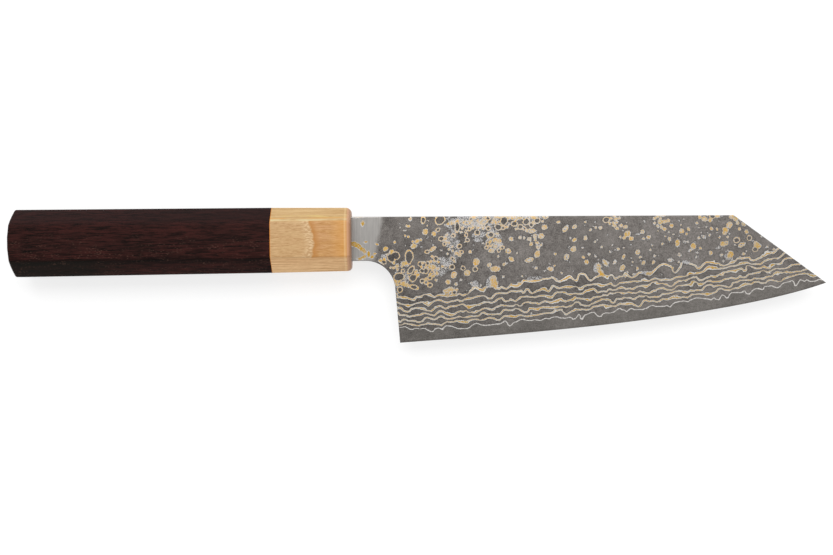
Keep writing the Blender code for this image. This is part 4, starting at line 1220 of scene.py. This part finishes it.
    # sweep, then set every point by its station's size; the dome is part of a ball that touches the end
    # on the axis
    swept = addNode(tree, "GeometryNodeCurveToMesh", {
        "Curve": pathKept.outputs["Geometry"], "Profile Curve": sectionKept.outputs["Geometry"],
        "Fill Caps": True})
    way = addNode(tree, "ShaderNodeMath", {0: part["along"], 1: part["Length"]}, operation="DIVIDE")
    for side in ("Height", "Thickness"):
        part[side] = addNode(tree, "ShaderNodeMapRange", {
            "Value": way, "To Min": part["Start " + side], "To Max": part["End " + side]}, clamp=False)
    part["nearEnd"] = addNode(tree, "ShaderNodeMapRange", {
        "Value": way, "From Min": 0.85, "From Max": 0.98, "To Max": part["Dome"]})
    across = addNode(tree, "ShaderNodeSeparateXYZ", {0: sectionKept.outputs["across"]}).outputs
    part["sectionHeight"], part["sectionThickness"] = across["X"], across["Y"]
    for key, operation, *terms in (
            ("lessHeight", "MULTIPLY_ADD", "inset", -2.0, "Height"),
            ("lessThickness", "MULTIPLY_ADD", "inset", -2.0, "Thickness"),
            ("heightScale", "DIVIDE", "lessHeight", "Start Height"),
            ("thicknessScale", "DIVIDE", "lessThickness", "Start Thickness"),
            ("heightShrunk", "MULTIPLY", "heightScale", "shrink"),
            ("thicknessShrunk", "MULTIPLY", "thicknessScale", "shrink"),
            ("up", "MULTIPLY", "sectionHeight", "heightShrunk"),
            ("through", "MULTIPLY", "sectionThickness", "thicknessShrunk"),
            ("upSquared", "MULTIPLY", "up", "up"),
            ("outSquared", "MULTIPLY_ADD", "through", "through", "upSquared"),
            ("ballSquared", "MULTIPLY", "Dome Radius", "Dome Radius"),
            ("leftSquared", "SUBTRACT", "ballSquared", "outSquared"),
            ("left", "SQRT", "leftSquared"),
            ("sag", "SUBTRACT", "Dome Radius", "left"),
            ("drop", "MULTIPLY", "sag", "nearEnd"),
            ("back", "SUBTRACT", "drop", "along")):
        part[key] = addNode(tree, "ShaderNodeMath", {
            i: part.get(term, term) for i, term in enumerate(terms)}, operation=operation)
    local = addNode(tree, "ShaderNodeCombineXYZ", {0: part["back"], 1: part["up"], 2: part["through"]})
    spot = addNode(tree, "ShaderNodeVectorMath", {0: local, 1: part["Start Place"]}, operation="ADD")
    shaped = addNode(tree, "GeometryNodeSetPosition", {"Geometry": swept, "Position": spot})
    flipped = addNode(tree, "GeometryNodeFlipFaces", {"Mesh": shaped})

    # the neck's pocket, the tang's slot and the dowel's bore
    cutter = addNode(tree, "GeometryNodeObjectInfo", {"Object": part["Cutter"]},
                     transform_space="ORIGINAL")
    hollow = addNode(tree, "GeometryNodeMeshBoolean", {
        "Mesh 1": flipped, "Mesh 2": cutter.outputs["Geometry"]}, operation="DIFFERENCE", solver="EXACT")
    real = addNode(tree, "GeometryNodeRealizeInstances", {"Geometry": hollow})
    finished = addNode(tree, "GeometryNodeSetMaterial", {"Geometry": real, "Material": part["Material"]})
    addNode(tree, "NodeGroupOutput", {"Geometry": finished})
    return tree


def boxAndRod(name, boxes, rods):
    # a cutter made of boxes and round bars along the handle's axis, in millimetres
    shape = bmesh.new()
    for low, high in boxes:
        corners = inWorld([low, high])
        for vert in bmesh.ops.create_cube(shape, size=1.0)["verts"]:
            vert.co = Vector([corners[int(vert.co[i] > 0)][i] for i in range(3)])
    for radius, fromX, toX in rods:
        made = bmesh.ops.create_cone(shape, cap_ends=True, segments=48, radius1=radius * mm,
                                     radius2=radius * mm, depth=(toX - fromX) * mm)
        middle = inWorld(((fromX + toX) / 2, 0, 0))
        for vert in made["verts"]:
            x, y, z = vert.co
            vert.co = Vector((middle[0] + z, middle[1] + x, middle[2] + y))
    bmesh.ops.recalc_face_normals(shape, faces=shape.faces)
    mesh = bpy.data.meshes.new(name)
    shape.to_mesh(mesh)
    shape.free()
    return addObject(name, mesh)


def makeFromTree(name, tree, settings):
    # runs the tree on an empty mesh and keeps the result as a plain mesh
    holder = addObject(name + "Holder", bpy.data.meshes.new(name + "Holder"))
    modifier = holder.modifiers.new("shape", "NODES")
    modifier.node_group = tree
    for item in tree.interface.items_tree:
        if item.in_out == "INPUT" and item.name in settings:
            modifier[item.identifier] = settings[item.name]
    bpy.context.view_layer.update()
    evaluated = holder.evaluated_get(bpy.context.evaluated_depsgraph_get())
    mesh = bpy.data.meshes.new_from_object(evaluated)
    mesh.name = name
    holder.modifiers.clear()
    bpy.data.objects.remove(holder)
    mesh.shade_smooth()
    return mesh


def spreadNoise(tree, place, size, detail, low, high, distortion=0.0):
    # noise stretched to a size in mm along, up and through, as 0 to 1 between two of its values
    stretched = addNode(tree, "ShaderNodeMapping", {
        "Vector": place, "Scale": tuple(1 / (part * mm) for part in size)})
    noise = addNode(tree, "ShaderNodeTexNoise", {
        "Vector": stretched, "Scale": 1.0, "Detail": detail, "Roughness": 0.65, "Distortion": distortion})
    return addNode(tree, "ShaderNodeMapRange", {"Value": noise, "From Min": low, "From Max": high})


rosewoodLook = {
    "grain": ("#060302", "#311815"),
    "red": "#381916",
    "spineSheenGrey": "#241A1A",     # painted sheen: the facet towards the spine is greyer where it catches the light
    "arrisBlack": "#070403",    # the wood is black along the lower arris,
    "arrisY": -7.6,
    "buttGreen": "#0F0E09",     # and greenish below it at the butt
    "inPore": "#050302",
    "inPoreShare": 0.45,
    "poreSize": (1.2, 0.40, 0.40),               # mm
    "driedWax": "#6E5044",      # wax dries pale in some pores
    "driedWaxShare": 0.5,
    "roughness": 0.40,
    "inPoreRougher": 0.2,
}


def waxedRosewood():
    # rosewood heartwood, sanded and waxed: nearly black with red-brown streaks and short open pores
    material, tree = newMaterial("waxedRosewood")
    look = rosewoodLook
    place = addNode(tree, "ShaderNodeTexCoord").outputs["Object"]
    part = fromMouth(tree, place)
    streaks = spreadNoise(tree, place, (18, 1.1, 1.1), 4.0, 0.32, 0.68, 0.2)
    fibres = spreadNoise(tree, place, (5.5, 0.50, 0.50), 3.0, 0.41, 0.59)
    porePlace = addNode(tree, "ShaderNodeMapping", {
        "Vector": place, "Scale": tuple(1 / (size * mm) for size in look["poreSize"])})
    pores = addNode(tree, "ShaderNodeTexVoronoi", {"Vector": porePlace, "Scale": 1.0, "Randomness": 1.0})
    openPore = addNode(tree, "ShaderNodeMapRange", {
        "Value": pores.outputs["Distance"], "From Min": 0.38, "From Max": 0.14},
        interpolation_type="SMOOTHSTEP")
    fromArris = addNode(tree, "ShaderNodeMath", {0: part["Y"], 1: look["arrisY"]}, operation="SUBTRACT")
    offArris = addNode(tree, "ShaderNodeMath", {0: fromArris}, operation="ABSOLUTE")
    shares = {
        "grain": addNode(tree, "ShaderNodeMix", {0: 0.72, 2: streaks, 3: fibres}),
        "zones": spreadNoise(tree, place, (30, 5, 5), 2.0, 0.38, 0.64),
        "clusters": spreadNoise(tree, place, (9, 2.0, 2.0), 4.0, 0.46, 0.64),
        "openPore": openPore,
        "poreMost": look["inPoreShare"],
        "waxMost": look["driedWaxShare"],
    }
    # each fade: what it follows, where it starts and is full, in mm or noise, and its most
    for key, value, start, full, most in (
            # painted sheen greying the facet towards the spine
            ("spineward", part["Y"], 5.5, 8.5, 0.35),
            ("atArris", offArris, 1.6, 0.4, 0.85),
            ("dark", streaks, 1.4, 0.4, 1.0),
            ("atButt", part["X"], -84.0, -104.0, 0.8),
            ("below", part["Y"], -6.6, -8.0, 1.0),
            ("low", part["Y"], 5.0, -2.0, 1.0)):
        shares[key] = addNode(tree, "ShaderNodeMapRange", {
            "Value": value, "From Min": start, "From Max": full, "To Max": most})
    for key, *both in (
            ("redness", "grain", "zones"), ("blackened", "atArris", "dark"),
            ("greened", "atButt", "below"), ("porous", "clusters", "low"), ("pore", "openPore", "porous"),
            ("shaded", "openPore", "poreMost"), ("waxed", "pore", "waxMost")):
        shares[key] = addNode(tree, "ShaderNodeMath", {
            i: shares[share] for i, share in enumerate(both)}, operation="MULTIPLY")
    colour = linear(look["grain"][0])
    # the greyer facet towards the spine is painted sheen
    for key, tone in (
            ("grain", look["grain"][1]), ("redness", look["red"]), ("spineward", look["spineSheenGrey"]),
            ("shaded", look["inPore"]), ("blackened", look["arrisBlack"]), ("greened", look["buttGreen"]),
            ("waxed", look["driedWax"])):
        colour = addNode(tree, "ShaderNodeMix", {
            0: shares[key], 6: colour, 7: linear(tone)}, data_type="RGBA")
    roughness = addNode(tree, "ShaderNodeMath", {
        0: shares["pore"], 1: look["inPoreRougher"], 2: look["roughness"]}, operation="MULTIPLY_ADD")
    height = addNode(tree, "ShaderNodeMath", {0: openPore, 1: -1.0, 2: fibres}, operation="MULTIPLY_ADD")
    bump = addNode(tree, "ShaderNodeBump", {"Height": height, "Strength": 0.25, "Distance": 0.04 * mm})
    shader = addNode(tree, "ShaderNodeBsdfPrincipled", {
        "Base Color": colour, "IOR": 1.5, "Roughness": roughness,
        "Specular IOR Level": 0.05, "Normal": bump})
    addNode(tree, "ShaderNodeOutputMaterial", {"Surface": shader})
    return material


paleWoodLook = {
    "pale": ("#A0784A", "#C6A377", "#C2A274"),      # dark and light fibres, and the tint over them
    "tan": ("#9F6D33", "#C39763", "#C79A72"),       # in front of the growth line
    "striped": ("#A27A48", "#CCAF80"),              # the facet towards the spine
    "pinkish": ("#AE7D4E", "#EAC492"),              # and the one towards the edge
    "ribbed": ("#AF8A60", "#D2B58C"),               # fuzz behind the growth line
    "front": "#CC9245",
    "stain": "#AA7336",
    "glue": "#C8781F",
    # a painted highlight where the mouth starts to round over
    "easeHighlight": "#E6CB9E",
    "mouth": ("#BD9072", "#9C7258"),                # end grain round the mouth, darker towards its edge partly with painted shade
    # light stripes along the upper arris, grain lines on the facet and a painted highlight on the rounded
    # arris: height and half width in mm, share and colour
    "arrisGrainAndHighlight": (
        (9.0, 0.42, 0.7, "#CCB370"), (8.25, 0.25, 0.6, "#C58E48"), (7.55, 0.4, 0.8, "#CABA8E")),
    "stripeSoft": 0.12,
    "lineX": -14.2,             # tip of the curved growth line, mm from the ferrule's mouth
    "lineY": -1.9,
    "lean": 0.22,
    "waver": 0.7,               # mm that it strays
    "stainReach": 3.0,          # how far the brown beside it fades out
    "glueWidth": 0.32,          # the glue line along the dark wood
    "mouthWidth": 1.6,          # end grain shows on the rounded mouth
    "roughness": 0.42,
}


def waxedPaleWood():
    # pale close-grained hardwood, sanded and waxed: fine straight grain, one growth line, satin sheen
    material, tree = newMaterial("waxedPaleWood")
    look = paleWoodLook
    place = addNode(tree, "ShaderNodeTexCoord").outputs["Object"]
    part = fromMouth(tree, place)
    shares = {
        "fibres": spreadNoise(tree, place, (2.6, 0.36, 0.36), 3.0, 0.32, 0.68),
        "tint": spreadNoise(tree, place, (9, 1.3, 1.3), 2.0, 0.38, 0.62),
        "ribs": spreadNoise(tree, place, (1.4, 0.5, 0.5), 1.0, 0.42, 0.58),
        "tintMost": 0.35,
        "fuzzMost": 0.8,
    }
    lines = spreadNoise(tree, place, (45, 0.62, 0.62), 2.0, 0.34, 0.66, 0.15)
    shares["grain"] = addNode(tree, "ShaderNodeMix", {0: 0.35, 2: lines, 3: shares["fibres"]})
    # the growth line bends back above and below its tip, and is fuzzy behind it
    waver = spreadNoise(tree, place, (2.4, 1.5, 1.5), 2.0, 0.3, 0.7)
    made = {"x": part["X"], "y": part["Y"], "waver": waver}
    for key, operation, *terms in (
            ("rise", "SUBTRACT", "y", look["lineY"]),
            ("squared", "MULTIPLY_ADD", "rise", "rise", 1.0),
            ("bend", "SQRT", "squared"),
            ("bent", "MULTIPLY_ADD", "bend", look["lean"], "x"),
            ("wavering", "MULTIPLY_ADD", "waver", look["waver"], "bent"),
            ("past", "SUBTRACT", "wavering", look["lineX"] + look["lean"] + look["waver"] / 2),
            ("fromMiddle", "ABSOLUTE", "y"),
            ("ease", "ADD", "x", look["mouthWidth"] + 0.5),
            ("fromEase", "ABSOLUTE", "ease")):
        made[key] = addNode(tree, "ShaderNodeMath", {
            i: made.get(term, term) for i, term in enumerate(terms)}, operation=operation)
    # each fade: what it follows, where it starts and is full, in mm, and its most
    ferruleLength = handle["ferruleLength"]
    fades = [
        ("beyond", made["past"], -0.2, 0.5, 1.0),
        ("nearLine", made["past"], look["stainReach"], 0.5, 0.85),
        ("fuzzStart", made["past"], -4.0, -1.5, 1.0),
        ("fuzzEnd", made["past"], 0.3, -0.5, 1.0),
        ("front", part["X"], -8.0, -2.5, 0.5),
        ("spineward", part["Y"], -2.0, 2.0, 1.0),
        ("onSide", made["fromMiddle"], 7.5, 6.9, 1.0),
        ("patchy", shares["tint"], 0.0, 0.8, 1.0),
        ("glue", part["X"], look["glueWidth"] - ferruleLength, 0.12 - ferruleLength, 1.0),
        # the painted highlight where the mouth's rounding starts
        ("easeHighlight", made["fromEase"], 0.5, 0.15, 0.28),
        ("mouth", part["X"], -look["mouthWidth"], -1.2, 0.8),
        # end grain darkening to the mouth's edge, partly painted shade
        ("mouthEdgeGrainAndShade", part["X"], -1.0, -0.2, 0.7),
    ]
    products = [("tinted", "tint", "tintMost"), ("stained", "nearLine", "beyond"),
                ("fuzz", "fuzzStart", "fuzzEnd"), ("fuzzy", "fuzz", "fuzzMost")]
    stripes = []
    # grain stripes and the painted highlight along the upper arris
    for number, (rowY, half, most, tone) in enumerate(look["arrisGrainAndHighlight"]):
        offRow = addNode(tree, "ShaderNodeMath", {0: part["Y"], 1: rowY}, operation="SUBTRACT")
        fromRow = addNode(tree, "ShaderNodeMath", {0: offRow}, operation="ABSOLUTE")
        soft = look["stripeSoft"]
        fades.append((f"row{number}", fromRow, half + soft, half - soft, most))
        products.append((f"stripe{number}", f"row{number}", "patchy"))
        stripes.append(("colour", "colour", f"stripe{number}", tone))
    for key, value, start, full, most in fades:
        shares[key] = addNode(tree, "ShaderNodeMapRange", {
            "Value": value, "From Min": start, "From Max": full, "To Max": most})
    for key, *both in products:
        shares[key] = addNode(tree, "ShaderNodeMath", {
            i: shares[share] for i, share in enumerate(both)}, operation="MULTIPLY")
    # every colour is an earlier one, or a plain one, with another over a share of it
    tones = {}
    for key, under, share, over in (
            ("pale", look["pale"][0], "fibres", look["pale"][1]),
            ("pale", "pale", "tinted", look["pale"][2]),
            ("tan", look["tan"][0], "fibres", look["tan"][1]),
            ("tan", "tan", "tinted", look["tan"][2]),
            ("striped", look["striped"][0], "grain", look["striped"][1]),
            ("pinkish", look["pinkish"][0], "grain", look["pinkish"][1]),
            ("ribbed", look["ribbed"][0], "ribs", look["ribbed"][1]),
            ("side", "pale", "fuzzy", "ribbed"),
            ("side", "side", "beyond", "tan"),
            ("side", "side", "front", look["front"]),
            ("side", "side", "stained", look["stain"]),
            ("slopes", "pinkish", "spineward", "striped"),
            ("colour", "slopes", "onSide", "side"),
            *stripes,
            ("colour", "colour", "glue", look["glue"]),
            ("colour", "colour", "easeHighlight", look["easeHighlight"]),
            ("colour", "colour", "mouth", look["mouth"][0]),
            ("colour", "colour", "mouthEdgeGrainAndShade", look["mouth"][1])):
        under, over = [linear(tone) if tone.startswith("#") else tones[tone] for tone in (under, over)]
        tones[key] = addNode(tree, "ShaderNodeMix", {
            0: shares[share], 6: under, 7: over}, data_type="RGBA")
    bump = addNode(tree, "ShaderNodeBump", {
        "Height": shares["fibres"], "Strength": 0.15, "Distance": 0.03 * mm})
    shader = addNode(tree, "ShaderNodeBsdfPrincipled", {
        "Base Color": tones["colour"], "IOR": 1.5, "Roughness": look["roughness"],
        "Specular IOR Level": 0.25, "Normal": bump})
    addNode(tree, "ShaderNodeOutputMaterial", {"Surface": shader})
    return material


octagon = octagonTree()
neckSide = blade["neckThickness"] / 2 + handle["neckGap"]
slotUp, slotSide = handle["tangSlot"]
ferruleCutter = boxAndRod(
    "ferruleCutter",
    [((-handle["pocketDepth"], neckBottom - handle["neckGap"], -neckSide),
      (5.0, float(spineY(-blade["shoulderDepth"])) + handle["neckGap"], neckSide)),
     ((-handle["ferruleWall"] - 3, -slotUp, -slotSide),
      (-handle["pocketDepth"] + 0.5, slotUp, slotSide))],
    [(handle["boreRadius"], -handle["ferruleLength"] - 5, -handle["ferruleWall"])])
bodyCutter = boxAndRod(
    "bodyCutter", [], [(handle["boreRadius"], handle["boreEnd"], -handle["ferruleLength"] + 5)])

# each piece: its node and slot, its material and cutter, where it starts, its length, its two ends,
# whether the far one is domed, and how many stations it has
for name, node, slotName, material, cutter, startX, length, near, far, dome, stations in (
        ("handleFerrule", "ferrule", "pale_wood", waxedPaleWood(), ferruleCutter,
         0.0, "ferruleLength", "mouth", "joint", 0.0, 40),
        ("handleBody", "handle_body", "dark_wood", waxedRosewood(), bodyCutter,
         -handle["ferruleLength"], "bodyLength", "joint", "butt", 1.0, 80)):
    settings = {
        "Length": handle[length] * mm,
        "Facet Cut": handle["facetCut"] * mm,
        "Arris Radius": handle["arrisRadius"] * mm,
        "Dome": dome,
        "Dome Radius": handle["domeRadius"] * mm,
        "Start Place": tuple(inWorld((startX, 0, 0))),
        "Stations": stations,
        "Cutter": cutter,
        "Material": material,
    }
    for side, end in (("Start ", near), ("End ", far)):
        for size in ("Height", "Thickness", "Radius"):
            settings[side + size] = handle[end + size] * mm
    addPiece(name, makeFromTree(name, octagon, settings), None, node)
    bpy.data.objects.remove(cutter)
print("handle made")


# Hidden inside the handle: dowel and resin keep the frame's solids

def plainMaterial(name, low, high, size, roughness):
    # one colour clouding into another, at a size in mm along, up and through
    material, tree = newMaterial(name)
    place = addNode(tree, "ShaderNodeTexCoord").outputs["Object"]
    grainPlace = addNode(tree, "ShaderNodeMapping", {
        "Vector": place, "Scale": tuple(1 / (part * mm) for part in size)})
    grain = addNode(tree, "ShaderNodeTexNoise", {"Vector": grainPlace, "Scale": 1.0, "Detail": 3.0})
    colour = addNode(tree, "ShaderNodeMix", {0: grain, 6: linear(low), 7: linear(high)}, data_type="RGBA")
    shader = addNode(tree, "ShaderNodeBsdfPrincipled", {
        "Base Color": colour, "IOR": 1.5, "Roughness": roughness})
    addNode(tree, "ShaderNodeOutputMaterial", {"Surface": shader})
    return material


# sawn beech, left as it came off the lathe
plainBeech = plainMaterial("plainBeech", "#C09A72", "#D8B48A", (20, 0.8, 0.8), 0.6)
# epoxy, poured and cured: amber and faintly cloudy
curedEpoxy = plainMaterial("curedEpoxy", "#8A6A3C", "#A5824C", (4, 4, 4), 0.3)
for node, material in (("tang_dowel", plainBeech), ("tang_bedding", curedEpoxy)):
    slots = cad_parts[node].material_slots
    for materialSlot in slots:
        materialSlot.material = material
    if not slots:
        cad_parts[node].data.materials.append(material)


# Floor and light: a white table under a wide soft light from the spine's side

studio = {
    "floorSize": 6.0,           # metres
    "floorZ": 0.0,
    "paper": "#F4F4F4",
    "glow": 0.64,               # how much of the table is white by itself, to the camera
    "glowStrength": 1.10,
    "worldStrength": 0.72,
    "keyPower": 8.0,            # watts
    "keySize": (1.04, 0.65),    # metres
    "keyPlace": (0.0, 0.55, 0.95),
}


def seenDirectly(tree):
    # 1 for what the camera sees, also in metal and through glass, and 0 for the light on the knife
    path = addNode(tree, "ShaderNodeLightPath").outputs
    seen = addNode(tree, "ShaderNodeMath", {
        0: path["Is Camera Ray"], 1: path["Is Glossy Ray"]}, operation="MAXIMUM")
    return addNode(tree, "ShaderNodeMath", {0: seen, 1: path["Is Transmission Ray"]}, operation="MAXIMUM")


def paperWhite():
    # matte white paper: it shows as white to the camera and keeps the knife's soft shadow
    material, tree = newMaterial("paperWhite")
    paper = addNode(tree, "ShaderNodeBsdfDiffuse", {"Color": linear(studio["paper"])})
    glow = addNode(tree, "ShaderNodeEmission", {
        "Color": linear("#FFFFFF"), "Strength": studio["glowStrength"]})
    share = addNode(tree, "ShaderNodeMath", {
        0: seenDirectly(tree), 1: studio["glow"]}, operation="MULTIPLY")
    both = addNode(tree, "ShaderNodeMixShader", {0: share, 1: paper, 2: glow})
    addNode(tree, "ShaderNodeOutputMaterial", {"Surface": both})
    return material


floorMesh = bpy.data.meshes.new("floor")
half = studio["floorSize"] / 2
corners = ((-half, -half), (half, -half), (half, half), (-half, half))
floorMesh.from_pydata([(x, y, studio["floorZ"]) for x, y in corners], [], [(0, 1, 2, 3)])
floorMesh.materials.append(paperWhite())
floor = addObject("floor", floorMesh)

world = bpy.data.worlds.new("studioWorld")
bpy.context.scene.world = world
world.use_nodes = True
world.node_tree.nodes.clear()
seen = seenDirectly(world.node_tree)
brightness = addNode(world.node_tree, "ShaderNodeMapRange", {
    "Value": seen, "To Min": studio["worldStrength"], "To Max": 1.0})
background = addNode(world.node_tree, "ShaderNodeBackground", {
    "Color": linear("#FFFFFF"), "Strength": brightness})
addNode(world.node_tree, "ShaderNodeOutputWorld", {"Surface": background})

keyData = bpy.data.lights.new("keyLight", "AREA")
keyData.shape = "RECTANGLE"
keyData.size, keyData.size_y = studio["keySize"]
keyData.energy = studio["keyPower"]
key = addObject("keyLight", keyData)
key.location = studio["keyPlace"]
key.rotation_euler = (Vector((0, 0, 0)) - key.location).to_track_quat("-Z", "Y").to_euler()
bpy.context.scene.view_settings.view_transform = "Standard"
print("floor and lights made")
